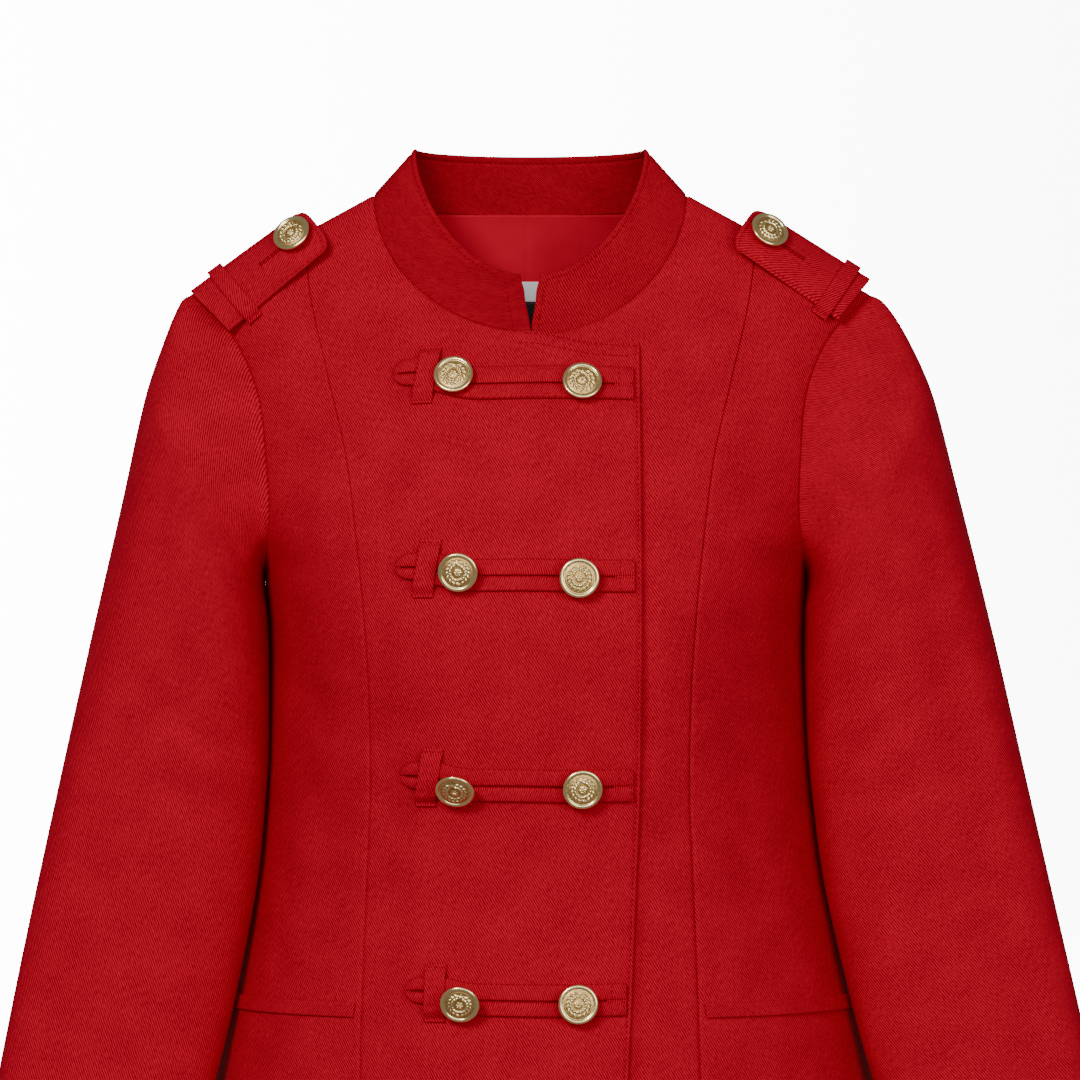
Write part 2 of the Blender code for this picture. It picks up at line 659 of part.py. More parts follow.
def frog(number, row):
    at = {name: value * MM for name, value in zip(FROG_COLUMNS, row)}
    tip = at["tip_x"] + np.array(TIP_STEPS) * TIP_LONG
    tape = np.linspace(TAPE_START_X, TAPE_LAST_X, TAPE_STEPS)
    x = np.concatenate([tip, tape, [at["end_x"]]])[None, :]
    rise = ease((FROG_LEVEL_X - x) / (FROG_LEVEL_X - at["tip_x"] - TIP_LONG))
    middle = at["slit_z"] + (at["tip_z"] - at["slit_z"]) * rise
    taper = np.clip((x - at["tip_x"]) / TIP_LONG, 0, 1) ** TIP_POWER
    half = (TAPE_SLIT / 2 + TAPE_WIDE) * (TIP_BLUNT + (1 - TIP_BLUNT) * taper)
    across = np.array([-1, 0, 0, 1])[:, None] * half
    opened = np.minimum(1, taper + TIP_BLUNT)
    across = across + np.array([0, -0.5, 0.5, 0])[:, None] * TAPE_SLIT * opened
    height = middle + across
    keep = np.ones((3, x.shape[1] - 1), bool)
    keep[1, SLIT_CLOSED:-SLIT_CLOSED] = False
    x, height = np.broadcast_arrays(x, height)
    outer = on_front(x, height, LAY_ON + TAPE_CLOTH)
    inner = on_front(x, height, LAY_ON)
    shell(f"frog_{number}", outer, inner, twill, keep=keep)


def frog_keeper(number, row):
    at = {name: value * MM for name, value in zip(FROG_COLUMNS, row)}
    part = np.array(KEEPER_PARTS)[:, None]
    middle_x = (at["keeper_top_x"] + at["keeper_low_x"]) / 2
    lean_x = (at["keeper_top_x"] - at["keeper_low_x"]) / 2
    x = middle_x + lean_x * part + np.array([-0.5, 0.5])[None, :] * KEEPER_WIDE
    rise = ease((FROG_LEVEL_X - middle_x) / (FROG_LEVEL_X - at["tip_x"] - TIP_LONG))
    middle_z = at["slit_z"] + (at["tip_z"] - at["slit_z"]) * rise
    height = middle_z + part * KEEPER_TALL / 2 + 0 * x
    over = 1 - ease((np.abs(part) - KEEPER_FLAT) / (KEEPER_DOWN - KEEPER_FLAT))
    lift = LAY_ON + over * (TAPE_CLOTH + LAY_ON) + 0 * x
    outer = on_front(x, height, lift + KEEPER_CLOTH)
    inner = on_front(x, height, lift)
    shell(f"frog_loop_{number}", outer, inner, twill)


# ------------------------------------------------------------------ buttons


def button_mesh(name, shank):
    """A turned button: shank, flat back, rolled rim and domed face, its axis along Z."""
    profile = (  # radius and height above the back, in millimetres, from the face down
        (0, 4.2),
        (9.3, 3.0),
        (10.4, 3.3),
        (11.7, 1.8),
        (10, 0),
        (2.0, 0),
    )
    mesh = bmesh.new()
    points = [(radius * MM, 0, height * MM) for radius, height in profile]
    points += [(SHANK_RADIUS, 0, -shank), (0, 0, -shank)]
    corners = [mesh.verts.new(point) for point in points]
    for start, end in zip(corners, corners[1:]):
        mesh.edges.new((start, end))
    bmesh.ops.spin(
        mesh,
        geom=mesh.verts[:] + mesh.edges[:],
        cent=(0, 0, 0),
        axis=(0, 0, 1),
        angle=math.tau,
        steps=BUTTON_SIDES,
        use_duplicate=False,
    )
    bmesh.ops.remove_doubles(mesh, verts=mesh.verts, dist=1e-5)
    bmesh.ops.recalc_face_normals(mesh, faces=mesh.faces)
    return mesh


def place_button(name, seat, normal, tilt):
    """Stands a button on its seat, its face along the normal and then looking down by the tilt."""
    stand = BUTTON_STAND + BUTTON_RADIUS * math.sin(tilt)
    shank = stand - SHANK_AIR - SHANK_RADIUS * math.sin(tilt)
    piece = add_object(name, button_mesh(name, shank / math.cos(tilt)), brass)
    face = Vector(normal).normalized()
    sideways = face.cross(Vector((0, 0, 1))).normalized()
    upward = sideways.cross(face).normalized()
    looking = (face * math.cos(tilt) - upward * math.sin(tilt)).normalized()
    piece.rotation_mode = "QUATERNION"
    piece.rotation_quaternion = looking.to_track_quat("Z", "Y")
    piece.location = Vector(seat) + face * stand
    return piece


def front_button(name, x, height, tilt):
    seat, above = (
        on_front(np.array(x), np.array(height), np.array(LAY_ON + TAPE_CLOTH + extra))
        for extra in (0, MM)
    )
    place_button(name, seat, above - seat, tilt)


# ------------------------------------------------------------------ shoulders


def epaulette_row(side):
    row = next(row for row in EPAULETTES if row[0] == side)
    return {key: value * MM for key, value in zip(EPAULETTE_COLUMNS, row)}


def on_epaulette(side, along, over, lift):
    """A point of the strap's underside: along from the free end, over from the lower edge."""
    at = epaulette_row(side)
    along, over, lift = np.broadcast_arrays(along, over, lift)
    edge = []
    for end in ("free", "sewn"):
        turn = turn_at(at[end + "_x"], at[end + "_z"])
        edge.append(trunk(turn, at[end + "_z"]) - np.array([0, at["stand"], 0]))
    down = edge[1] - edge[0]
    length = np.linalg.norm(down)
    level = np.array([0, 1, 0])
    rise = np.cross(down, level) * side
    rise /= np.linalg.norm(rise)
    part = along / length
    tilt = np.radians((at["free_tilt"] + (at["sewn_tilt"] - at["free_tilt"]) * part) / MM)
    reach = tilt + over / EPAULETTE_BOW
    point = edge[0] + down * part[..., None]
    point = point + rise * (EPAULETTE_BOW * (np.sin(reach) - np.sin(tilt)))[..., None]
    point = point + level * (EPAULETTE_BOW * (np.cos(tilt) - np.cos(reach)))[..., None]
    normal = rise * np.sin(reach)[..., None] - level * np.cos(reach)[..., None]
    return point + normal * lift[..., None]


def epaulette(name, side):
    at = epaulette_row(side)
    length = math.hypot(at["sewn_x"] - at["free_x"], at["sewn_z"] - at["free_z"])
    share = np.array(EPAULETTE_LONG_STEPS)[:, None]
    part = np.array(EPAULETTE_WIDE_STEPS)[None, :]
    bend = np.abs(2 * part - 1)
    free = EPAULETTE_ROUND * (1 - np.sqrt(1 - EPAULETTE_FULL * bend**4))
    sewn = length - EPAULETTE_SEAM[0] - (EPAULETTE_SEAM[1] - EPAULETTE_SEAM[0]) * ease(part)
    along = free + (sewn - free) * share
    outer = on_epaulette(side, along, part * EPAULETTE_WIDE, STRAP_CLOTH)
    inner = on_epaulette(side, along, part * EPAULETTE_WIDE, 0.0)
    shell(name, outer, inner, twill)


def epaulette_keeper(name, side):
    part = np.array(LOOP_STEPS)[:, None]
    over = LOOP_LOW + (LOOP_HIGH - LOOP_LOW) * part
    along = epaulette_row(side)["loop_at"] + np.array([-0.5, 0.5])[None, :] * LOOP_WIDE
    down = ease((part - LOOP_DOWN) / (1 - LOOP_DOWN))
    lift = LAY_ON + STRAP_CLOTH * ease(part / LOOP_UP) * (1 - down)
    outer = on_epaulette(side, along, over, lift + KEEPER_CLOTH)
    inner = on_epaulette(side, along, over, lift)
    shell(name, outer, inner, twill)


def epaulette_button(name, side):
    along, over = EPAULETTE_BUTTON
    seat, above = (
        on_epaulette(side, np.array(along), np.array(over), np.array(STRAP_CLOTH + extra))
        for extra in (0, MM)
    )
    place_button(name, seat, above - seat, 0)


def pocket_welt(name, side):
    height = WELT_LOW + np.linspace(0, WELT_TALL, WELT_ROWS)[:, None]
    low = np.array([WELT_LOW])
    start_x = column(PRINCESS, LINE_COLUMNS, "x", low) + WELT_FROM_PRINCESS
    start = turn_at(side * start_x, low)[0]
    turn = np.linspace(start, side * WELT_END, WELT_COLUMNS)[None, :]
    turn, height = np.broadcast_arrays(turn, height)
    outer = raised(trunk, turn, height, np.full(turn.shape, LAY_ON + WELT_CLOTH))
    inner = raised(trunk, turn, height, np.full(turn.shape, LAY_ON))
    shell(name, outer, inner, twill)


# ------------------------------------------------------------------ build


def add_material(name, colour, roughness, metallic=0.0):
    material = bpy.data.materials.new(name)
    material.use_nodes = True
    shader = material.node_tree.nodes["Principled BSDF"]
    shader.inputs["Base Color"].default_value = colour
    shader.inputs["Roughness"].default_value = roughness
    shader.inputs["Metallic"].default_value = metallic
    material.diffuse_color = colour
    return material


for old in list(bpy.data.objects):
    bpy.data.objects.remove(old)
jacket = bpy.data.collections.new("military_jacket")
bpy.context.scene.collection.children.link(jacket)
twill = add_material("cotton twill", TWILL_RED, 0.85)
lining_cloth = add_material("plain lining", LINING_RED, 0.7)
brass = add_material("brass", BRASS_GOLD, 0.3, 1.0)
label_cloth = add_material("white label tape", LABEL_WHITE, 0.6)
tab_cloth = add_material("black label tape", TAB_BLACK, 0.6)

neck_angles = np.linspace(0, math.pi / 2, NECK_COLUMNS + 1)
back_neck_angles = np.linspace(math.pi / 2, math.pi, BACK_NECK_COLUMNS + 1)

LEFT, RIGHT = 1, -1
front_panel("front_right", RIGHT, EDGE_TOP, crosses=True)
front_panel("front_left", LEFT, UNDER_TOP, crosses=False)
for word, side in (("left", LEFT), ("right", RIGHT)):
    side_front_panel(f"side_front_{word}", side)
    back_panel(f"back_{word}", side)
    sleeve(f"sleeve_{word}", side)
    epaulette(f"epaulette_{word}", side)
    epaulette_keeper(f"epaulette_loop_{word}", side)
    epaulette_button(f"epaulette_button_{word}", side)
    pocket_welt(f"pocket_welt_{word}", side)
collar()
lining_at = CLOTH + LINING_AIR
inside_back(
    "back_neck_lining",
    (-LINING_DEPTH, -NECK_BACK_DROP - LINING_UNDER_SEAM),
    LINING_REACH,
    11,
    lining_at,
    LINING,
    lining_cloth,
)
label_at = lining_at + LINING + LAY_ON
label_low = LABEL_TOP - LABEL_TALL
inside_back(
    "neck_label", (label_low, LABEL_TOP), LABEL_HALF, 5, label_at, LABEL_CLOTH, label_cloth
)
tab_top = label_low - TAB_AIR
inside_back(
    "size_tab", (tab_top - TAB_TALL, tab_top), TAB_HALF, 3, label_at, LABEL_CLOTH, tab_cloth
)
for number, row in enumerate(FROGS, 1):
    frog(number, row)
    frog_keeper(number, row)
for column_name, table in (("inner", BUTTONS_INNER), ("outer", BUTTONS_OUTER)):
    for number, (x, z, tilt) in enumerate(table, 1):
        front_button(f"button_{column_name}_{number}", x * MM, z * MM, math.radians(tilt))
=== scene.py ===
"""Looks of the red military-style jacket: twill panels, standing collar, frog tapes, brass buttons.

Metres, +Z up, front faces -Y, +X is the wearer's left. Every cloth piece is a closed thin wall on
the same skins as its CAD solid, with folded edges, pressed seams, creases and rows of stitches.
"""

import math

import bpy
import numpy as np
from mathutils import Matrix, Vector


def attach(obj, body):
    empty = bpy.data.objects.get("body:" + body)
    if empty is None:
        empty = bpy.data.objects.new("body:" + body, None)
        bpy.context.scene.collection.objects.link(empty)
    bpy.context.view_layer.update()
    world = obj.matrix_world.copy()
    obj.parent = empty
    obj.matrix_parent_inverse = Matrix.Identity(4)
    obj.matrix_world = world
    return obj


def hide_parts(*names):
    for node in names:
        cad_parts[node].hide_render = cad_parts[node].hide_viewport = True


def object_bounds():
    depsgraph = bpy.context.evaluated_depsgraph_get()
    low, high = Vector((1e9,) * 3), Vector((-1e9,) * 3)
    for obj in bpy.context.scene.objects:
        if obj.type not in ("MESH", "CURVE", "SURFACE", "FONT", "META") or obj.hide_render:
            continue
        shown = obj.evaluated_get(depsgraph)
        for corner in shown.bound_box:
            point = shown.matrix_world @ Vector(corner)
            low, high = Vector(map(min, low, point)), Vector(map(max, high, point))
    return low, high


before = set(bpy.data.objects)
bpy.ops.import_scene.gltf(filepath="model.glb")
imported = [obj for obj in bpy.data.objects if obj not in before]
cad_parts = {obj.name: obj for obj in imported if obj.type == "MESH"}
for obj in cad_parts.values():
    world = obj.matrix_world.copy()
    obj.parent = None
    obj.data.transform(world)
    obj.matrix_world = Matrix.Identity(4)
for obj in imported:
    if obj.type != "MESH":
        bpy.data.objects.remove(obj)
cad_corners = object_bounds()

MM = 0.001
LEFT, RIGHT = 1, -1

# Camera: the photograph's viewing point, level, 0.59 mm of cloth to a pixel at the jacket's front.
CAMERA_AT = (0.0059, -4.0, -0.207)
CAMERA_LENS = 222.6
IMAGE_SIDE = 1080

# Thicknesses and clearances, as in the CAD.
CLOTH = 1.5 * MM
COLLAR_CLOTH = 1.8 * MM
LINING = 0.8 * MM
STRAP_CLOTH = 2.0 * MM
TAPE_CLOTH = 1.7 * MM
KEEPER_CLOTH = 1.2 * MM
LABEL_CLOTH = 0.8 * MM
SEAM_HALF, MOST_PULL = 0.1 * MM, 0.5  # a seam's half gap, at most half a cell
LAY_ON = 0.7 * MM
LINING_AIR = 1.0 * MM
OVERLAP_AIR = 1.5 * MM
OVERLAP_LIFT = CLOTH + OVERLAP_AIR
RISE_START, RISE_END = -88 * MM, -60 * MM

# Pressed seams and sewn rows.
SEAM_DIP, SEAM_SOFT = 0.95 * MM, 1.3 * MM  # how deep a seam sinks, and how far from it
LEFT_PRINCESS, RIGHT_PRINCESS = 1.0, 0.6  # how much of that depth each princess seam has
SIDE_FLAT_Z, SIDE_FLAT_TALL = -236 * MM, 34 * MM
ALLOWANCE_PUFF, ALLOWANCE_WIDE = 0.22 * MM, 11 * MM  # pressed seam allowance under the cloth
STITCH_DIP, STITCH_SOFT = 0.6 * MM, 0.8 * MM
STITCH_PITCH, STITCH_LONG, STITCH_THICK = 3.2 * MM, 2.2 * MM, 0.6 * MM

# Steps from an edge into the cloth: fine at the fold and round a row of stitches.
SEAM_STEPS = np.array((0, 0.4, 0.9, 1.6, 2.6, 4.2)) * MM
EDGE_STEPS = np.array((0, 0.15, 0.4, 0.8, 1.4, 2.1, 2.8, 3.5, 4.2, 4.9, 5.8, 7)) * MM
NO_STEPS = np.array((0.0,))
CLOTH_STEP = 4 * MM

# Trunk.
NECK_HALF, SHOULDER_HALF, SHOULDER_DROP = 94 * MM, 204 * MM, 60 * MM
ARMPIT, HEM = -226 * MM, -624 * MM
LEAN = 0.018
BUST_X, BUST_Z, BUST_LIFT = 88 * MM, -262 * MM, 6 * MM
BUST_WIDE, BUST_TALL = 42 * MM, 62 * MM
TRUNK_COLUMNS = ("height", "half_width", "front", "back", "side_y", "square")
TRUNK = (
    (0, 214, 20, 38, 5, 2.0),
    (-15, 211, 22, 46, 5, 2.0),
    (-32, 208, 27, 53, 5, 2.0),
    (-60, 204, 36, 62, 4, 2.0),
    (-85, 191, 52, 70, 3, 2.0),
    (-115, 184, 69, 79, 2, 2.05),
    (-150, 180, 84, 87, 0, 2.1),
    (-200, 168, 100, 93, 0, 2.15),
    (-226, 162.5, 119, 81.6, 12, 2.15),
    (-270, 162.2, 142.4, 66.7, 28.4, 2.15),
    (-335, 164.5, 139, 57.4, 32, 2.15),
    (-390, 170, 134, 53, 33, 2.15),
    (-450, 180.5, 136, 58, 34, 2.2),
    (-514, 195, 141, 66, 34, 2.2),
    (-630, 215, 149, 75, 34, 2.2),
)

# Sewing lines on the fronts: height, and distance from the centre.
LINE_COLUMNS = ("height", "x")
PRINCESS = (
    (-60, 131),
    (-108, 120),
    (-158, 108.5),
    (-204, 102.5),
    (-254, 97.5),
    (-294, 95),
    (-340, 94),
    (-390, 95.5),
    (-450, 98),
    (-514, 100),
    (-630, 104),
)
PRINCESS_TOP = 136 * MM
PRINCESS_HIGH = -(PRINCESS_TOP - NECK_HALF) * SHOULDER_DROP / (SHOULDER_HALF - NECK_HALF)
FRONT_EDGE = (
    (-91, 64.5),
    (-228, 65.3),
    (-350, 64),
    (-415, 61.5),
    (-476, 59.2),
    (-505, 57.8),
    (-630, 53.5),
)
UNDER_EDGE = -40 * MM
NECK_FRONT_DROP, NECK_FRONT_BEND, NECK_BACK_DROP = 84.7 * MM, 1.08, 10 * MM
EDGE_TOP = -92 * MM
EDGE_ROW, TOP_ROWS = 2.6 * MM, (1.4 * MM, 9.4 * MM)  # rows of stitches, from the front's edges
ARMHOLE_FRONT, ARMHOLE_BACK = math.radians(28), math.radians(27)
BACK_ROWS = (-262 * MM, -42 * MM)  # centre back heights of the rows that meet the armhole's ends

# Sleeves.
SLEEVE_COLUMNS = (
    "along", "outer_x", "outer_z", "inner_x", "inner_z", "depth", "mid_y", "left_more"
)
SLEEVE = (
    (0.00, 204, -60, 160, -226, 47, 0, 0),
    (0.03, 211.5, -63, 161, -229, 48, 0, 3),
    (0.08, 218, -75, 161, -233, 50, 0, 6.5),
    (0.15, 225, -98, 161, -241, 53, 0, 8.5),
    (0.25, 235, -135, 160.5, -254, 54, 0, 9),
    (0.35, 245.5, -180, 160, -275, 53, 0, 9),
    (0.50, 267, -268, 160.5, -320, 47, -2, 7.5),
    (0.65, 288, -357, 166.5, -392, 38, -7, 5),
    (0.80, 311.5, -460, 185, -487, 30, -14, 3),
    (1.00, 348, -633, 237, -660, 24, -24, 2),
)
CAP_END = 0.22
CAP_TURN = 9 * MM  # from the armhole seam, how far the sleeve's cloth takes to turn over
UNDERARM_HOLD = 18  # how closely the sleeve's start under the arm keeps to the body
SLEEVE_SQUARE = 2.2
SLEEVE_TROUGH = 3 * MM
TROUGH_AT, TROUGH_WIDE = math.radians(62), math.radians(16)
TROUGH_START, TROUGH_FULL = 0.15, 0.45
SLEEVE_LONG = 590 * MM
SLEEVE_ROUND = 60  # cells round half of a sleeve

# Collar.
COLLAR_TOP_HALF = 69 * MM
COLLAR_TOP_Y, COLLAR_TOP_FRONT, COLLAR_TOP_BACK = 4 * MM, -34 * MM, 40 * MM
COLLAR_TIP, COLLAR_FRONT_TOP, COLLAR_BACK_TOP = 28 * MM, -49 * MM, 25 * MM
COLLAR_BEND = 1.2
COLLAR_TALL = 38 * MM
SLIT_MID, SLIT_TOP = 3.3 * MM, 5.6 * MM

# Creases: soft troughs between two points of a panel, in millimetres; a negative depth is a ridge.
CREASE_COLUMNS = ("x_1", "z_1", "x_2", "z_2", "wide", "deep", "bow")
FRONT_CREASES = (
    (-46, -128, 2, -170, 9, 0.9, 4),
    (-10, -262, 30, -312, 8, 0.8, -3),
    (-30, -440, 12, -392, 9, 1.0, 3),
    (8, -148, 58, -124, 12, -0.7, 2),
    (-52, -300, -26, -262, 12, 0.6, 2),
    (-150, -215, -122, -330, 16, 1.6, 8),
    (-142, -330, -118, -420, 12, 1.0, -4),
    (112, -250, 128, -372, 15, 1.5, -6),
    (122, -372, 150, -470, 13, 1.6, 4),
    (150, -120, 132, -205, 13, 1.4, 5),
    (-156, -118, -136, -200, 12, 1.3, -5),
    (70, -395, 96, -352, 10, 0.9, 2),
    (-92, -352, -66, -398, 10, 0.8, -2),
    (20, -560, 34, -470, 16, 0.9, 3),
    (-120, -610, -112, -500, 20, 1.8, 4),
    (128, -615, 118, -520, 20, 1.8, -4),
    (70, -92, 70, -380, 4.5, 2.4, 0),
    (69.5, -396, 62, -616, 4.5, 2.4, 0),
)
BACK_CREASES = (
    (-150, -130, -128, -262, 15, 2.2, -8),
    (148, -126, 126, -258, 15, 2.0, 8),
    (-108, -150, -92, -236, 18, 1.4, -4),
    (-96, -330, 0, -398, 13, 1.6, -6),
    (92, -338, 4, -412, 13, 1.5, 6),
    (-62, -60, 58, -58, 14, 1.2, -5),
    (-128, -392, -40, -372, 11, 1.1, 3),
    (120, -400, 44, -376, 11, 1.0, -3),
    (-78, -610, -66, -450, 26, 2.6, 5),
    (74, -612, 62, -455, 26, 2.4, -5),
    (6, -600, -2, -470, 20, 1.2, 2),
)
# The same on a sleeve: arc in millimetres forward from its outer line, and distance down it.
SLEEVE_CREASES = (
    (118, 330, 44, 292, 11, 2.0, 7),
    (122, 356, 58, 372, 10, 1.6, -6),
    (112, 300, 70, 262, 9, 1.2, 4),
    (96, 408, 38, 430, 12, 1.1, 5),
    (-96, 318, -34, 346, 12, 1.6, -6),
    (-90, 360, -40, 300, 11, 1.3, 5),
    (84, 60, 62, 200, 13, 1.8, 6),
    (-84, 50, -70, 190, 13, 2.0, -6),
    (48, 470, 40, 560, 14, 0.9, 3),
)
SLEEVE_MEAN_ROUND = 46 * MM  # radius that turns an angle into an arc for the table above
COLLAR_CREASE = (-33, -69, -11, -62, 1.9, 1.7, 1.0)  # x and z, as on a panel

# Frogs.
FROG_COLUMNS = ("tip_x", "tip_z", "slit_z", "end_x", "keeper_top_x", "keeper_low_x")
FROGS = (
    (-80, -110.3, -117.2, 60.5, -57.5, -63.5),
    (-77.5, -223.8, -229.3, 60.5, -57.0, -62.0),
    (-74.5, -344.5, -350.4, 59.2, -55.5, -60.0),
    (-71.5, -471.0, -476.4, 55.5, -54.0, -55.0),
)
TAPE_WIDE, TAPE_SLIT, TIP_LONG = 9.2 * MM, 1.2 * MM, 9 * MM
UPPER_WIDE, LOWER_WIDE = 9.7 * MM, 8.2 * MM  # the two runs of tape
TONGUE = 0.82  # the tongue's height, of the whole tape's
FROG_LEVEL_X = -30 * MM
KEEPER_WIDE, KEEPER_TALL = 12 * MM, 34 * MM
TAPE_BARTACKS = (-9.2 * MM, -1.6 * MM)  # rows that sew a tape down, from its right end

# Buttons.
BUTTON_COLUMNS = ("x", "z", "tilt")
BUTTONS_INNER = ((30.2, -118.3, 3), (28.2, -231.6, 16), (29.8, -350.6, 4), (27.6, -478, 6))
BUTTONS_OUTER = ((-44.2, -114.4, 3), (-40.4, -228.2, 26), (-40.8, -350, 32), (-38.6, -477.5, 30))
BUTTON_RADIUS, BUTTON_STAND, SHANK_RADIUS = 11.7 * MM, 2.6 * MM, 2.0 * MM

# Epaulettes.
EPAULETTE_COLUMNS = (
    "side", "free_x", "free_z", "sewn_x", "sewn_z", "stand", "free_tilt", "sewn_tilt", "loop_at"
)
EPAULETTES = (
    (-1, -117, -31, -180, -83.5, 8.3, 14, 0, 64),
    (1, 118.5, -31, 184, -76.5, 6.3, 15, 6, 68),
)
EPAULETTE_WIDE, EPAULETTE_BOW, EPAULETTE_ROUND = 39 * MM, 40.6 * MM, 9 * MM
EPAULETTE_SEAM = (1 * MM, -1.5 * MM)
EPAULETTE_BUTTON = (15 * MM, 19.5 * MM)
LOOP_WIDE, LOOP_LOW, LOOP_HIGH = 10 * MM, -4.5 * MM, 44 * MM

# Welts, and what shows inside the neck.
WELT_LOW, WELT_TALL, WELT_FROM_PRINCESS = -487 * MM, 8.5 * MM, 4 * MM
WELT_END, WELT_CLOTH = math.radians(80), 1.3 * MM
LINING_DEPTH, LINING_REACH = 88 * MM, 78 * MM
LABEL_TOP, LABEL_TALL, LABEL_HALF = -49 * MM, 12 * MM, 26 * MM
TAB_TALL, TAB_HALF = 34 * MM, 14 * MM


# ------------------------------------------------------------------ curves through tables


def smooth_line(places, values, at):
    """Monotone cubic through the given values, read at any place."""
    places, values, at = (np.asarray(given, float) for given in (places, values, at))
    order = np.argsort(places)
    places, values = places[order], values[order]
    step = np.diff(places)
    slope = np.diff(values) / step
    tangent = np.zeros(len(values))
    tangent[0], tangent[-1] = slope[0], slope[-1]
    same_way = slope[:-1] * slope[1:] > 0
    wide = step[:-1] + step[1:]
    first, second = slope[:-1][same_way], slope[1:][same_way]
    near, far = (step[1:] + wide)[same_way], (step[:-1] + wide)[same_way]
    tangent[1:-1][same_way] = (near + far) / (near / first + far / second)
    at = np.clip(at, places[0], places[-1])
    cell = np.clip(np.searchsorted(places, at) - 1, 0, len(step) - 1)
    part = (at - places[cell]) / step[cell]
    rest = 1 - part
    return (
        values[cell] * (1 + 2 * part) * rest**2
        + values[cell + 1] * (1 + 2 * rest) * part**2
        + step[cell] * (tangent[cell] * part * rest**2 - tangent[cell + 1] * rest * part**2)
    )


def column(table, names, name, at, scale=MM):
    """One named column of a table, read smoothly along the table's first column."""
    rows = np.asarray(table, float)
    first = rows[:, 0] * (MM if names[0] == "height" else 1)
    return smooth_line(first, rows[:, names.index(name)] * scale, at)


def ease(part):
    """0 to 1 with level ends."""
    part = np.clip(part, 0, 1)
    return part * part * (3 - 2 * part)


def power(value, exponent):
    return np.sign(value) * np.abs(value) ** exponent


def spaced(length, near_start, near_end, step=CLOTH_STEP):
    """Fractions along a line: the given fine steps near its ends, and even ones between."""
    first, last = near_start[-1], length - near_end[-1]
    count = max(2, round((last - first) / step))
    between = np.linspace(first, last, count + 1)[1:-1]
    return np.concatenate([near_start, between, length - near_end[::-1]]) / length


# ------------------------------------------------------------------ skins


def half_width(height):
    shoulder = NECK_HALF - height * (SHOULDER_HALF - NECK_HALF) / SHOULDER_DROP
    return np.minimum(shoulder, column(TRUNK, TRUNK_COLUMNS, "half_width", height))


def lean(height):
    return LEAN * np.maximum(0, -height - SHOULDER_DROP)


def trunk(turn, height):
    """The trunk's outside: turn 0 is the centre front, +90 degrees the left side seam."""
    turn, height = np.broadcast_arrays(np.asarray(turn, float), np.asarray(height, float))
    square = column(TRUNK, TRUNK_COLUMNS, "square", height, scale=1)
    front = column(TRUNK, TRUNK_COLUMNS, "front", height)
    back = column(TRUNK, TRUNK_COLUMNS, "back", height)
    depth = np.where(np.cos(turn) > 0, front, back)
    x = half_width(height) * power(np.sin(turn), 2 / square) + lean(height)
    y = column(TRUNK, TRUNK_COLUMNS, "side_y", height) - depth * power(np.cos(turn), 2 / square)
    bust = ((np.abs(x) - BUST_X) / BUST_WIDE) ** 2 + ((height - BUST_Z) / BUST_TALL) ** 2
    y = y - np.where(np.cos(turn) > 0, BUST_LIFT * np.exp(-bust), 0)
    return np.stack([x, y, height], axis=-1)


def turn_at(x, height):
    square = column(TRUNK, TRUNK_COLUMNS, "square", height, scale=1)
    part = np.clip((x - lean(height)) / half_width(height), -1, 1)
    return np.arcsin(power(part, square / 2))


def raised(skin, first, second, lift):
    """Points of a skin moved out along its normal."""
    turn_step, other_step = 2e-4, 2e-5
    along = skin(first + turn_step, second) - skin(first - turn_step, second)
    up = skin(first, second + other_step) - skin(first, second - other_step)
    normal = np.cross(along, up)
    normal /= np.linalg.norm(normal, axis=-1, keepdims=True)
    return skin(first, second) + normal * np.asarray(lift)[..., None]


def front_lift(x):
    """How far the upper front stands off the trunk's skin where it crosses the lower one."""
    return OVERLAP_LIFT * ease((x - RISE_START) / (RISE_END - RISE_START))


def creases(table, x, z):
    """Lift of all the soft creases of a table at x and z."""
    lift = np.zeros(np.broadcast(x, z).shape)
    for row in table:
        at = dict(zip(CREASE_COLUMNS, np.array(row) * MM))
        run = np.array([at["x_2"] - at["x_1"], at["z_2"] - at["z_1"]])
        length = np.linalg.norm(run)
        way = run / length
        part = ((x - at["x_1"]) * way[0] + (z - at["z_1"]) * way[1]) / length
        off = (x - at["x_1"]) * way[1] - (z - at["z_1"]) * way[0]
        off = off - at["bow"] * 4 * part * (1 - part)
        fade = ease((part + 0.1) / 0.4) * ease((1.1 - part) / 0.4)
        lift = lift - at["deep"] * np.exp(-((off / at["wide"]) ** 2)) * fade
    return lift


def body_creases(turn, height):
    x = trunk(turn, height)[..., 0]
    return np.where(
        np.cos(turn) > 0, creases(FRONT_CREASES, x, height), creases(BACK_CREASES, x, height)
    )


def on_trunk(turn, height, lift):
    return raised(trunk, turn, height, lift + body_creases(turn, height))


# ------------------------------------------------------------------ cloth walls

grids = {}  # the outer points of each cloth piece, for the rows of stitches


def distance_from(points, side):
    """How far each point of a grid lies from one of its four edges, along the cloth."""
    axis = 0 if side in ("low", "top") else 1
    step = np.linalg.norm(np.diff(points, axis=axis), axis=-1)
    zero = np.zeros_like(np.take(step, [0], axis=axis))
    run = np.cumsum(np.concatenate([zero, step], axis=axis), axis=axis)
    if side in ("top", "end"):
        run = np.take(run, [-1], axis=axis) - run
    return run


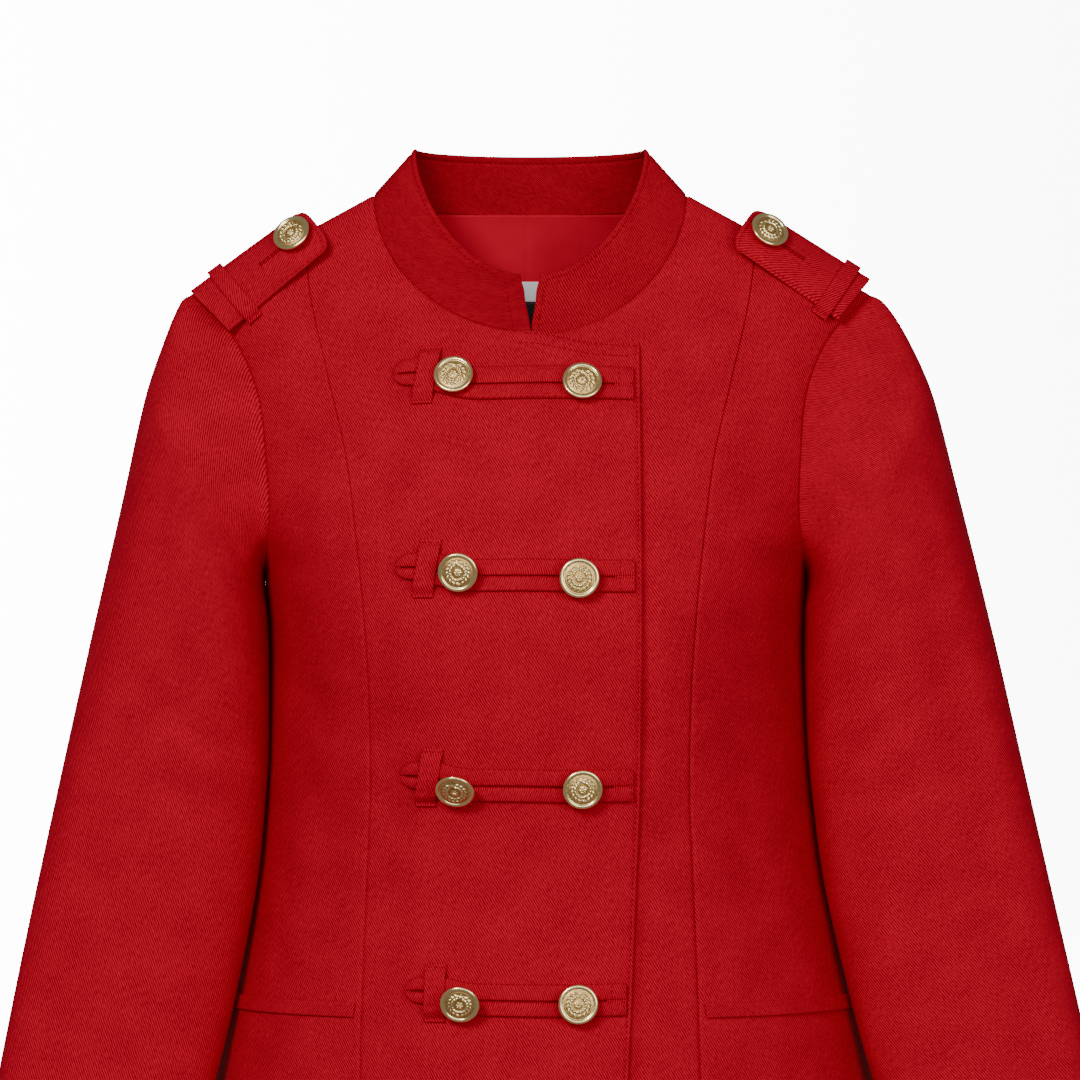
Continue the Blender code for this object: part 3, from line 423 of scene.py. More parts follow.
def edge_shape(points, thick, edges):
    """How far the outer wall drops and the inner one rises near folded edges and seams."""
    drop = np.zeros(points.shape[:2])
    rise = np.zeros(points.shape[:2])
    for side, kind, share in edges:
        away = distance_from(points, side)
        if kind == "fold":
            part = 1 - np.clip(away / (0.8 * thick), 0, 1)
            round_off = 0.46 * thick * (1 - np.sqrt(np.clip(1 - part**2, 0, 1)))
            drop = np.maximum(drop, round_off * share)
            rise = np.maximum(rise, round_off * share)
        elif kind == "seam":
            dip = SEAM_DIP * np.exp(-((away / SEAM_SOFT) ** 2))
            dip = np.minimum(dip, thick - 0.3 * MM)
            puff = ease(away / (3 * MM)) * (1 - ease((away - ALLOWANCE_WIDE) / (2.5 * MM)))
            drop = np.maximum(drop, dip * share) - ALLOWANCE_PUFF * puff * share
        else:
            groove = STITCH_DIP * np.exp(-(((away - kind) / STITCH_SOFT) ** 2))
            drop = drop + groove * share
    return drop, rise


def pull_in(points, sides, by=SEAM_HALF):
    points = points.copy()
    edges = {"low": (0, 1, 0), "top": (-1, -2, 0), "start": (0, 1, 1), "end": (-1, -2, 1)}
    for side in sides:
        edge, next_in, axis = edges[side]
        grid = points if axis == 0 else points.swapaxes(0, 1)
        inward = grid[next_in] - grid[edge]
        room = np.linalg.norm(inward, axis=-1, keepdims=True)
        grid[edge] = grid[edge] + inward * np.minimum(by / room, MOST_PULL)
    return points


def cloth_plane(points, turned=0.0):
    """Where each point lies in the flat cloth, in metres: warp up, weft to the viewer's right."""
    across = distance_from(points, "start")
    up = distance_from(points, "low")
    sine, cosine = math.sin(turned), math.cos(turned)
    return np.stack([across * cosine - up * sine, across * sine + up * cosine], -1)


def trunk_plane(turn, height, middle):
    """The same for a trunk panel: weft round the body from a middle turn, warp straight up."""
    steps = np.linspace(0, 1, 49)
    line = trunk(middle + (turn - middle)[..., None] * steps, height[..., None])
    run = np.linalg.norm(np.diff(line, axis=-2), axis=-1).sum(-1)
    return np.stack([run * np.sign(turn - middle), height], -1)


def wall(name, outer, inner, plane, material, slot, ring=False, keep=None):
    """A closed cloth wall between two grids of points, as one smooth mesh with a cloth UV."""
    rows, columns = outer.shape[:2]
    cells = columns if ring else columns - 1
    if keep is None:
        keep = np.ones((rows - 1, cells), bool)
    row, place = np.nonzero(keep)
    corners = [(row, place), (row, place + 1), (row + 1, place + 1), (row + 1, place)]
    count = rows * columns

    def point_of(corner, side):
        return corner[0] * columns + corner[1] % columns + side * count

    faces = [np.stack([point_of(corner, 0) for corner in corners], 1)]
    faces.append(np.stack([point_of(corner, 1) for corner in reversed(corners)], 1))
    plane_rows = [np.stack([np.stack(corner, 1) for corner in corners], 1)]
    plane_rows.append(plane_rows[0][:, ::-1])
    framed = np.pad(keep, 1, mode="constant")
    if ring:
        framed[1:-1, 0], framed[1:-1, -1] = keep[:, -1], keep[:, 0]
    beside = [(-1, 0), (0, 1), (1, 0), (0, -1)]
    for index, (down, right) in enumerate(beside):
        open_here = ~framed[row + 1 + down, place + 1 + right]
        start = [part[open_here] for part in corners[index]]
        end = [part[open_here] for part in corners[(index + 1) % 4]]
        rim = [point_of(end, 0), point_of(start, 0), point_of(start, 1), point_of(end, 1)]
        faces.append(np.stack(rim, 1))
        plane_rows.append(np.stack([np.stack(at, 1) for at in (end, start, start, end)], 1))
    faces = np.concatenate(faces)
    plane_at = np.concatenate(plane_rows)
    points = np.concatenate([outer.reshape(-1, 3), inner.reshape(-1, 3)])
    used, faces = np.unique(faces, return_inverse=True)
    points, faces = points[used], faces.reshape(-1, 4)
    first, second, third, fourth = (points[faces[:, corner]] for corner in range(4))
    turned_out = np.einsum("ij,ij->i", first + third, np.cross(third - first, fourth - second))
    if turned_out.sum() < 0:
        faces, plane_at = faces[:, ::-1], plane_at[:, ::-1]
    if ring:
        plane = np.concatenate([plane, plane[:, :1] + (plane[:, -1:] - plane[:, -2:-1])], 1)
        wrap = plane[:, -2:-1] + (plane[:, -2:-1] - plane[:, -3:-2])
        plane[:, -1:] = wrap
    flat = plane[plane_at[..., 0].ravel(), plane_at[..., 1].ravel()]
    mesh = bpy.data.meshes.new(name)
    mesh.from_pydata(points.tolist(), [], faces.tolist())
    mesh.polygons.foreach_set("use_smooth", np.ones(len(faces), bool))
    layer = mesh.uv_layers.new(name="cloth")
    layer.data.foreach_set("uv", flat.astype(np.float32).ravel())
    mesh.materials.append(material)
    mesh.update()
    piece = bpy.data.objects.new(name + "_cloth", mesh)
    jacket.objects.link(piece)
    grids[name] = outer
    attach(piece, "root")
    return piece


# ------------------------------------------------------------------ sewing lines

below_parts = spaced(ARMPIT - HEM, EDGE_STEPS, NO_STEPS)
above_parts = spaced(190 * MM, NO_STEPS, SEAM_STEPS)


def armhole(side, angle):
    """Turn and height on the armhole: angle 0 at the shoulder point, pi at the armpit."""
    middle = (ARMPIT - SHOULDER_DROP) / 2
    tall = (-SHOULDER_DROP - ARMPIT) / 2
    open_by = np.where(np.sin(angle) >= 0, ARMHOLE_FRONT, ARMHOLE_BACK)
    turn = math.pi / 2 - open_by * np.sin(angle)
    return side * turn, middle + tall * np.cos(angle)


def row_heights(top):
    below = HEM + (ARMPIT - HEM) * below_parts
    above = ARMPIT + (top - ARMPIT) * above_parts
    return np.concatenate([below, above[1:]])


def side_line(side, back=False):
    below = HEM + (ARMPIT - HEM) * below_parts
    angle = math.pi * (1 - above_parts[1:])
    turn, height = armhole(side, -angle if back else angle)
    below_turn = np.full(len(below), side * math.pi / 2)
    return np.concatenate([below_turn, turn]), np.concatenate([below, height])


def princess_line(side):
    height = row_heights(PRINCESS_HIGH)
    turn = turn_at(side * princess_x(height), height)
    turn[-1] = side * math.pi / 2
    return turn, height


def neckline(angle):
    """Turn and height on the neck seam: angle 0 at the centre front, pi at the centre back."""
    angle = np.asarray(angle, float)
    x = NECK_HALF * np.sin(angle)
    dip = np.abs(np.cos(angle))
    is_front = np.cos(angle) > 0
    height = np.where(is_front, -NECK_FRONT_DROP * dip**NECK_FRONT_BEND, -NECK_BACK_DROP * dip)
    turn = turn_at(x + lean(height), height)
    turn = np.where(is_front, turn, power(x, 0) * math.pi - turn)
    return turn, height


def along_line(x, y, shares):
    """Points of a plane line at the given shares of its length."""
    run = np.concatenate([[0], np.cumsum(np.hypot(np.diff(x), np.diff(y)))])
    shares = shares * run[-1]
    return np.interp(shares, run, x), np.interp(shares, run, y)


def shoulder_seam(side, x):
    height = -(x - NECK_HALF) * SHOULDER_DROP / (SHOULDER_HALF - NECK_HALF)
    return np.full(len(x), side * math.pi / 2), height


def join(*lines):
    """Lines that share their ends, as one."""
    turns = [lines[0][0]] + [line[0][1:] for line in lines[1:]]
    heights = [lines[0][1]] + [line[1][1:] for line in lines[1:]]
    return np.concatenate(turns), np.concatenate(heights)


def patch(low, top, start, end, across, up):
    """Both coordinates over a panel between four lines, read at the shares across and up."""
    made = []
    across, up = across[None, :], up[:, None]
    for part in (0, 1):
        edge_low, edge_top = low[part][None, :], top[part][None, :]
        edge_start, edge_end = start[part][:, None], end[part][:, None]
        ruled = (1 - up) * edge_low + up * edge_top + (1 - across) * edge_start + across * edge_end
        ruled -= (1 - up) * (1 - across) * low[part][0] + (1 - up) * across * low[part][-1]
        ruled -= up * (1 - across) * top[part][0] + up * across * top[part][-1]
        made.append(ruled)
    return made


# ------------------------------------------------------------------ panels


def panel(name, turn, height, lift, sewn, edges, middle=0.0):
    flat = raised(trunk, turn, height, lift)
    drop, rise = edge_shape(flat, CLOTH, edges)
    outer = pull_in(on_trunk(turn, height, lift - drop), sewn)
    inner = pull_in(on_trunk(turn, height, lift - CLOTH + rise), sewn)
    plane = trunk_plane(turn, height, middle)
    piece = wall(name, outer, inner, plane, cotton_twill, "cotton_twill")
    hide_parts(name)
    return piece


def princess_x(height):
    table = PRINCESS + ((PRINCESS_HIGH / MM, PRINCESS_TOP / MM),)
    return column(table, LINE_COLUMNS, "x", height)


def front_panel(name, side, crosses):
    rows = spaced(530 * MM, EDGE_STEPS, EDGE_STEPS)
    edge_height = HEM + (EDGE_TOP - HEM) * rows
    if crosses:
        edge = (column(FRONT_EDGE, LINE_COLUMNS, "x", edge_height), edge_height)
    else:
        edge = (np.full(len(rows), UNDER_EDGE), edge_height)
    line_height = np.linspace(HEM, PRINCESS_HIGH, 300)
    yoke_x = np.linspace(PRINCESS_TOP, NECK_HALF, 30)[1:]
    line_x = np.concatenate([princess_x(line_height), yoke_x])
    line_height = np.concatenate([line_height, shoulder_seam(side, yoke_x)[1]])
    line = along_line(side * line_x, line_height, rows)
    # The top line: the plain edge to the slit, then the neck seam up to the shoulder.
    plain_parts = spaced(abs(edge[0][-1]), EDGE_STEPS, NO_STEPS, 3 * MM)
    angle = np.linspace(0, math.pi / 2, 400)
    neck_x, neck_height = side * NECK_HALF * np.sin(angle), neckline(angle)[1]
    neck = along_line(neck_x, neck_height, spaced(130 * MM, NO_STEPS, SEAM_STEPS, 3 * MM))
    plain_rise = neck_height[0] - EDGE_TOP
    plain = (edge[0][-1] * (1 - plain_parts), EDGE_TOP + plain_rise * ease(plain_parts) ** 2)
    top = join(plain, neck)
    share = np.concatenate([[0], np.cumsum(np.hypot(*np.diff(np.stack(top), axis=1)))])
    share = share / share[-1]
    low_x = edge[0][0] + (line[0][0] - edge[0][0]) * share
    x, height = patch((low_x, np.full(len(share), HEM)), top, edge, line, share, rows)
    sewn = ease((np.arange(len(share)) - len(plain_parts)) / 4 + 0.5)[None, :]
    edges = [
        ("low", "fold", 1),
        ("start", "fold", 1),
        ("top", "fold", 1 - sewn),
        ("top", "seam", sewn),
        ("end", "seam", LEFT_PRINCESS if side == LEFT else RIGHT_PRINCESS),
    ]
    if crosses:
        edges.append(("start", EDGE_ROW, 1))
        edges += [("top", row, 1 - sewn) for row in TOP_ROWS]
    lift = front_lift(x) if crosses else np.zeros_like(x)
    return panel(name, turn_at(x, height), height, lift, ("top", "end"), edges)


def side_sink(height):
    """How much of a seam's sinking the side seam has: little under the arm, where it is pressed flat."""
    return 1 - 1.7 * np.exp(-(((height - SIDE_FLAT_Z) / SIDE_FLAT_TALL) ** 2))


def side_front_panel(name, side):
    """Its rows run straight from the princess seam to the side seam and armhole."""
    start, end = princess_line(side), side_line(side)
    parts = spaced(77 * MM, SEAM_STEPS, SEAM_STEPS)[None, :]
    turn, height = (
        one[:, None] + (other - one)[:, None] * parts for one, other in zip(start, end)
    )
    princess = LEFT_PRINCESS if side == LEFT else RIGHT_PRINCESS
    edges = [("start", "seam", princess), ("end", "seam", side_sink(height))]
    edges += [("top", "seam", 1), ("low", "fold", 1)]
    return panel(name, turn, height, 0 * turn, ("top", "start", "end"), edges)


def back_panel(name, side):
    """Its rows run from the centre seam to the side seam, the armhole and the shoulder."""
    end_turn, end_height = side_line(side, back=True)
    shoulder_parts = spaced(125 * MM, NO_STEPS, SEAM_STEPS)[1:]
    end_turn = np.concatenate([end_turn, np.full(len(shoulder_parts), side * math.pi / 2)])
    end_height = np.concatenate([end_height, -SHOULDER_DROP * (1 - shoulder_parts)])
    low, high = BACK_ROWS
    start_height = np.concatenate(
        [
            HEM + (low - HEM) * below_parts,
            low + (high - low) * above_parts[1:],
            high + (-NECK_BACK_DROP - high) * shoulder_parts,
        ]
    )
    parts = spaced(180 * MM, SEAM_STEPS, SEAM_STEPS)
    lines = ((np.full(len(end_turn), side * math.pi), end_turn), (start_height, end_height))
    neck_turn, neck_height = neckline(math.pi - math.pi / 2 * parts)
    near_neck = ease((start_height - high) / (-NECK_BACK_DROP - high))[:, None]
    made = []
    for (start, end), neck in zip(lines, (side * neck_turn, neck_height)):
        ruled = start[:, None] + (end - start)[:, None] * parts[None, :]
        made.append(ruled + near_neck * (neck - ruled[-1])[None, :])
    turn, height = made
    edges = [("start", "seam", 1), ("end", "seam", side_sink(height))]
    edges += [("top", "seam", 1), ("low", "fold", 1)]
    return panel(name, turn, height, 0 * turn, ("top", "start", "end"), edges, side * math.pi)


# ------------------------------------------------------------------ sleeves


def sleeve_column(name, along):
    scale = 1 if name == "along" else MM
    return column(SLEEVE, SLEEVE_COLUMNS, name, along, scale)


def sleeve_skin(side):
    """The outside of a sleeve as a function of the angle round it and the place along it."""

    def outer_x(along):
        return sleeve_column("outer_x", along) + max(side, 0) * sleeve_column("left_more", along)

    def centre(along):
        x = (outer_x(along) + sleeve_column("inner_x", along)) / 2
        z = (sleeve_column("outer_z", along) + sleeve_column("inner_z", along)) / 2
        return np.stack([x, 0 * x, z], axis=-1)

    def skin(angle, along):
        angle, along = np.broadcast_arrays(np.asarray(angle, float), np.asarray(along, float))
        middle = centre(along)
        reach_x = (outer_x(along) - sleeve_column("inner_x", along)) / 2
        reach_z = (sleeve_column("outer_z", along) - sleeve_column("inner_z", along)) / 2
        out = power(np.cos(angle), 2 / SLEEVE_SQUARE)
        forward = power(np.sin(angle), 2 / SLEEVE_SQUARE)
        trough = np.exp(-(((angle - TROUGH_AT) / TROUGH_WIDE) ** 2))
        trough = trough * ease((along - TROUGH_START) / (TROUGH_FULL - TROUGH_START))
        forward = forward * (1 - trough * SLEEVE_TROUGH / sleeve_column("depth", along))
        y = sleeve_column("mid_y", along) - sleeve_column("depth", along) * forward
        oval = np.stack([middle[..., 0] + reach_x * out, y, middle[..., 2] + reach_z * out], -1)
        opening = trunk(*armhole(1, angle)) - np.stack(
            [lean(armhole(1, angle)[1]), 0 * angle, 0 * angle], -1
        )
        moved = middle - centre(np.zeros_like(along))
        moved[..., 0] *= 1 - ((1 - np.cos(angle)) / 2) ** UNDERARM_HOLD
        start = opening + moved
        blend = ease(along / CAP_END)[..., None]
        points = start * (1 - blend) + oval * blend
        points[..., 0] = side * points[..., 0] + lean(points[..., 2])
        return points

    return skin


def on_sleeve(side, angle, along, lift):
    """Near the armhole the lift turns from the sleeve's own way out to the trunk's."""
    skin = sleeve_skin(side)
    # The skin is mirrored for the right sleeve, so its normal points the other way.
    stood = raised(skin, angle, along, side * lift)
    turn, height = armhole(side, angle)
    sewn = skin(angle, along) + on_trunk(turn, height, lift) - trunk(turn, height)
    share = ease(along * SLEEVE_LONG / CAP_TURN)[..., None]
    return sewn * (1 - share) + stood * share


def sleeve(name, side):
    front = np.linspace(0, math.pi, SLEEVE_ROUND + 1)
    angle = np.concatenate([front, -front[::-1][1:-1]])[None, :]
    along = spaced(SLEEVE_LONG, SEAM_STEPS, EDGE_STEPS)[:, None]
    angle, along = np.broadcast_arrays(angle, along)
    flat = on_sleeve(side, angle, along, np.zeros(angle.shape))
    sink = 1 - ((1 - np.cos(angle)) / 2) ** 6  # under the arm the seam is pressed flat
    drop, rise = edge_shape(flat, CLOTH, [("low", "seam", sink), ("top", "fold", 1)])
    folds = creases(SLEEVE_CREASES, angle * SLEEVE_MEAN_ROUND, along * SLEEVE_LONG)
    outer = pull_in(on_sleeve(side, angle, along, folds - drop), ["low"])
    inner = pull_in(on_sleeve(side, angle, along, folds - CLOTH + rise), ["low"])
    # The cloth is laid out from the straight cuff, its ribs turned with the sleeve.
    plane = np.stack([side * -distance_from(flat, "start"), distance_from(flat, "top")], -1)
    piece = wall(name, outer, inner, plane, cotton_twill, "cotton_twill", ring=True)
    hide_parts(name)
    return piece


# ------------------------------------------------------------------ collar and neck


def collar_seam(angle, lift):
    """The neck seam: angle 0 at the centre front, pi at the back, negative on the right."""
    side = np.where(angle < 0, -1, 1)
    turn, height = neckline(np.abs(angle))
    on_upper = (angle < 0) & (np.cos(angle) > 0)
    out = np.where(on_upper, front_lift(trunk(side * turn, height)[..., 0]), 0)
    return raised(trunk, side * turn, height, out + lift)


def collar_skin(angle, up):
    """The collar's outside, from the neck seam, where up is 0, to its top edge."""
    angle, up = np.broadcast_arrays(np.asarray(angle, float), np.asarray(up, float))
    base = collar_seam(angle, 0)
    x = COLLAR_TOP_HALF * np.sin(angle)
    is_front = np.cos(angle) > 0
    dip = np.abs(np.cos(angle))
    y = np.where(is_front, COLLAR_TOP_FRONT, COLLAR_TOP_BACK) * dip
    z = np.where(
        is_front,
        COLLAR_TIP + (COLLAR_FRONT_TOP - COLLAR_TIP) * dip**COLLAR_BEND,
        COLLAR_TIP + (COLLAR_BACK_TOP - COLLAR_TIP) * dip,
    )
    top = np.stack([x, y + COLLAR_TOP_Y, z], -1)
    return base + (top - base) * up[..., None]


def on_collar(angle, up, lift):
    """Near the neck seam the lift turns from the collar's own way out to the trunk's."""
    stood = raised(collar_skin, angle, up, lift)
    sewn = collar_skin(angle, up) + collar_seam(angle, lift) - collar_seam(angle, 0 * lift)
    share = ease(up * COLLAR_TALL / (6 * MM))[..., None]
    return sewn * (1 - share) + stood * share


def collar():
    front = math.pi / 2 * spaced(128 * MM, EDGE_STEPS, NO_STEPS, 3 * MM)
    back = np.linspace(math.pi / 2, math.pi, 33)[1:]
    half = np.concatenate([front, back])
    seam_angles = np.concatenate([half, 2 * math.pi - half[::-1][1:]])
    up = spaced(COLLAR_TALL, SEAM_STEPS, EDGE_STEPS, 2.5 * MM)[:, None]
    open_x = SEAM_HALF + SLIT_MID * ease(up / 0.7) + (SLIT_TOP - SLIT_MID) * ease(up * 3 - 2)
    ring_half = NECK_HALF + (COLLAR_TOP_HALF - NECK_HALF) * up
    start = np.arcsin(open_x / ring_half)
    angle = start + seam_angles[None, :] * (1 - start / math.pi)
    angle = np.where(angle > math.pi, angle - 2 * math.pi, angle)
    up = np.broadcast_to(up, angle.shape)
    flat = on_collar(angle, up, np.zeros(angle.shape))
    is_front = (np.abs(angle) < math.pi / 2) * 1.0
    edges = [("low", "seam", 0.8), ("top", "fold", 1), ("start", "fold", 1), ("end", "fold", 1)]
    edges += [("top", 4.6 * MM, 1), ("start", 4.6 * MM, 1), ("end", 11 * MM, 1)]
    drop, rise = edge_shape(flat, COLLAR_CLOTH, edges)
    fold = creases([COLLAR_CREASE], flat[..., 0], flat[..., 2]) * is_front
    groove = STITCH_DIP * np.exp(-(((distance_from(flat, "top") - 4.6 * MM) / STITCH_SOFT) ** 2))
    outer = on_collar(angle, up, fold - drop)
    inner = on_collar(angle, up, fold - COLLAR_CLOTH + rise + groove)
    # The cloth's warp stands up the collar, and its weft runs round it to the wearer's right.
    plane = cloth_plane(flat)
    plane = np.stack([plane[..., 0], plane[..., 1]], -1)
    walls = [pull_in(points, ["low"]) for points in (outer, inner)]
    # The collar wears the darker twill: painted shade.
    piece = wall("collar", *walls, plane, collar_twill_painted_shade, "cotton_twill")
    grids["collar_inside"] = walls[1]
    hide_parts("collar")
    return piece


def inside_back(name, low, top, reach, depth_in, thick, material, slot, grooves=()):
    """A patch against the inside of the back, between two heights."""
    height = (low + (top - low) * spaced(top - low, EDGE_STEPS[:5], EDGE_STEPS[:5], 3 * MM))[:, None]
    x = (reach * (2 * spaced(2 * reach, EDGE_STEPS[:5], EDGE_STEPS[:5], 1.6 * MM) - 1))[None, :]
    height, x = np.broadcast_arrays(height, x)
    turn = math.pi - turn_at(x + lean(height), height)
    flat = raised(trunk, turn, height, np.full(x.shape, -depth_in))
    edges = [(side, "fold", 1) for side in ("low", "top", "start", "end")]
    drop, rise = edge_shape(flat, thick, edges)
    for place, deep, wide in grooves:
        rise = rise + deep * MM * np.exp(-(((x - place * MM) / (wide * MM)) ** 2))
    outer = raised(trunk, turn, height, -depth_in - drop)
    inner = raised(trunk, turn, height, -depth_in - thick + rise)
    piece = wall(name, outer, inner, cloth_plane(flat), material, slot)
    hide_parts(name)
    return piece


# ------------------------------------------------------------------ trims on the upper front


def on_front(x, height, lift):
    """A point of the upper front's outside, creases and all, moved out by a lift."""
    return on_trunk(turn_at(x, height), height, front_lift(x) + lift)


def frog_middle(at, x):
    rise = ease((FROG_LEVEL_X - x) / (FROG_LEVEL_X - at["tip_x"] - TIP_LONG))
    return at["slit_z"] + (at["tip_z"] - at["slit_z"]) * rise


def frog_tape(number, row):
    """Two runs of flat tape with a slit between them, joined at both ends."""
    at = {name: value * MM for name, value in zip(FROG_COLUMNS, row)}
    long = at["end_x"] - at["tip_x"]
    x = (at["tip_x"] + long * spaced(long, EDGE_STEPS[:7], EDGE_STEPS[:7], 1.7 * MM))[None, :]
    run = spaced(TAPE_WIDE, EDGE_STEPS[:4], EDGE_STEPS[:4], 0.9 * MM)
    side = np.concatenate([np.full(len(run), -1), np.full(len(run), 1)])[:, None]
    part = np.concatenate([1 - run, run])[:, None]  # 0 at the slit and 1 at the outer edge
    taper = np.clip((x - at["tip_x"]) / TIP_LONG, 0, 1)
    taper = np.sqrt(1 - (1 - taper) ** 2)
    tongue = TONGUE + (1 - TONGUE) * ease((x - at["tip_x"] - TIP_LONG) / TIP_LONG)
    wide = np.where(side > 0, UPPER_WIDE, LOWER_WIDE)
    half = (TAPE_SLIT / 2 + wide) * (0.12 + 0.88 * taper) * tongue
    slit = TAPE_SLIT / 2 * np.minimum(1, taper + 0.1)
    wave = 0.35 * MM * np.sin(x / (17 * MM) + number) * ease((x - at["tip_x"]) / (30 * MM))
    height = frog_middle(at, x) + side * (slit + (half - slit) * part) + wave
    x, height = np.broadcast_arrays(x, height)
    keep = np.ones((x.shape[0] - 1, x.shape[1] - 1), bool)
    open_tape = (x[0, :-1] > at["tip_x"] + 2.5 * MM) & (x[0, 1:] < at["end_x"] - 10.5 * MM)
    keep[len(run) - 1, open_tape] = False
    away = np.minimum(part, 1 - part) * TAPE_WIDE
    ends = np.minimum(x - at["tip_x"], at["end_x"] - x)
    edge = np.minimum(away, ends)
    fold = 1 - np.clip(edge / (1.0 * MM), 0, 1)
    round_off = 0.45 * TAPE_CLOTH * (1 - np.sqrt(np.clip(1 - fold**2, 0, 1)))
    drop = round_off.copy()
    for tack in TAPE_BARTACKS:
        drop += 0.55 * MM * np.exp(-(((x - at["end_x"] - tack) / (0.8 * MM)) ** 2))
    puff = 0.5 * MM * np.sin(math.pi * part)
    outer = on_front(x, height, LAY_ON + TAPE_CLOTH + puff - drop)
    inner = on_front(x, height, LAY_ON + round_off)
    flat = on_front(x, height, LAY_ON + 0 * x)
    plane = cloth_plane(flat, turned=math.radians(30))
    name = f"frog_{number}"
    piece = wall(name, outer, inner, plane, cotton_twill, "cotton_twill", keep=keep)
    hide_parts(name)
    top_run = len(run) + np.arange(len(run))
    low_run = np.arange(len(run))
    grids[name + "_top"] = outer[top_run]
    grids[name + "_low"] = outer[low_run]
    return piece


def frog_keeper(number, row):
    """A short strap over both runs of tape, its ends turned under and sewn to the front."""
    at = {name: value * MM for name, value in zip(FROG_COLUMNS, row)}
    part = (2 * spaced(KEEPER_TALL, EDGE_STEPS, EDGE_STEPS, 1.2 * MM) - 1)[:, None]
    across = (spaced(KEEPER_WIDE, EDGE_STEPS[:5], EDGE_STEPS[:5], 1.1 * MM) - 0.5)[None, :]
    middle_x = (at["keeper_top_x"] + at["keeper_low_x"]) / 2
    lean_x = (at["keeper_top_x"] - at["keeper_low_x"]) / 2
    x = middle_x + lean_x * part + across * KEEPER_WIDE
    height = frog_middle(at, middle_x) + part * KEEPER_TALL / 2 + 0 * x
    over = 1 - ease((np.abs(part) - 0.6) / 0.3)
    lift = LAY_ON + over * (TAPE_CLOTH + LAY_ON) + 0 * x
    flat = on_front(x, height, lift)
    edges = [(side, "fold", 1) for side in ("low", "top", "start", "end")]
    edges += [("low", 2.4 * MM, 1), ("top", 2.4 * MM, 1)]
    drop, rise = edge_shape(flat, KEEPER_CLOTH, edges)
    outer = on_front(x, height, lift + KEEPER_CLOTH - drop)
    inner = on_front(x, height, lift + rise)
    name = f"frog_loop_{number}"
    piece = wall(name, outer, inner, cloth_plane(flat), cotton_twill, "cotton_twill")
    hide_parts(name)
    return piece


# ------------------------------------------------------------------ epaulettes and welts


def epaulette_row(side):
    row = next(row for row in EPAULETTES if row[0] == side)
    return {key: value * MM for key, value in zip(EPAULETTE_COLUMNS, row)}


def on_epaulette(side, along, over, lift):
    """A point of the strap's underside: along from the free end, over from the lower edge."""
    at = epaulette_row(side)
    along, over, lift = np.broadcast_arrays(along, over, lift)
    edge = []
    for end in ("free", "sewn"):
        turn = turn_at(at[end + "_x"], at[end + "_z"])
        edge.append(trunk(turn, at[end + "_z"]) - np.array([0, at["stand"], 0]))
    down = edge[1] - edge[0]
    length = np.linalg.norm(down)
    level = np.array([0, 1, 0])
    rise = np.cross(down, level) * side
    rise /= np.linalg.norm(rise)
    part = along / length
    tilt = np.radians((at["free_tilt"] + (at["sewn_tilt"] - at["free_tilt"]) * part) / MM)
    reach = tilt + over / EPAULETTE_BOW
    point = edge[0] + down * part[..., None]
    point = point + rise * (EPAULETTE_BOW * (np.sin(reach) - np.sin(tilt)))[..., None]
    point = point + level * (EPAULETTE_BOW * (np.cos(tilt) - np.cos(reach)))[..., None]
    normal = rise * np.sin(reach)[..., None] - level * np.cos(reach)[..., None]
    return point + normal * lift[..., None]


def epaulette(name, side):
    at = epaulette_row(side)
    length = math.hypot(at["sewn_x"] - at["free_x"], at["sewn_z"] - at["free_z"])
    share = spaced(length, EDGE_STEPS, SEAM_STEPS, 2 * MM)[:, None]
    part = spaced(EPAULETTE_WIDE, EDGE_STEPS, EDGE_STEPS, 2 * MM)[None, :]
    bend = np.abs(2 * part - 1)
    free = EPAULETTE_ROUND * (1 - np.sqrt(1 - 0.92 * bend**4))
    sewn = length - EPAULETTE_SEAM[0] - (EPAULETTE_SEAM[1] - EPAULETTE_SEAM[0]) * ease(part)
    along = free + (sewn - free) * share
    over = part * EPAULETTE_WIDE + 0 * along
    flat = on_epaulette(side, along, over, 0.0)
    edges = [(edge, "fold", 1) for edge in ("low", "start", "end")]
    edges += [(edge, 3.4 * MM, 1) for edge in ("low", "start", "end")]
    drop, rise = edge_shape(flat, STRAP_CLOTH, edges)
    outer = on_epaulette(side, along, over, STRAP_CLOTH - drop)
    inner = on_epaulette(side, along, over, rise)
    plane = cloth_plane(flat)
    plane = np.stack([side * plane[..., 0], -plane[..., 1]], -1)
    piece = wall(name, outer, inner, plane, cotton_twill, "cotton_twill")
    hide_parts(name)
    return piece


def epaulette_keeper(name, side):
    part = spaced(LOOP_HIGH - LOOP_LOW, EDGE_STEPS, EDGE_STEPS[:5], 1.5 * MM)[:, None]
    over = LOOP_LOW + (LOOP_HIGH - LOOP_LOW) * part
    across = spaced(LOOP_WIDE, EDGE_STEPS[:5], EDGE_STEPS[:5], 1.1 * MM)[None, :] - 0.5
    along = epaulette_row(side)["loop_at"] + across * LOOP_WIDE
    lift = LAY_ON + STRAP_CLOTH * ease(part / 0.12) * (1 - ease((part - 0.92) / 0.08))
    over, along, lift = np.broadcast_arrays(over, along, lift)
    flat = on_epaulette(side, along, over, lift)
    edges = [(edge, "fold", 1) for edge in ("low", "top", "start", "end")]
    edges += [("low", 2.4 * MM, 1)]
    drop, rise = edge_shape(flat, KEEPER_CLOTH, edges)
    outer = on_epaulette(side, along, over, lift + KEEPER_CLOTH - drop)
    inner = on_epaulette(side, along, over, lift + rise)
    plane = cloth_plane(flat)
    plane = np.stack([-side * plane[..., 0], plane[..., 1]], -1)
    piece = wall(name, outer, inner, plane, cotton_twill, "cotton_twill")
    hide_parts(name)
    return piece


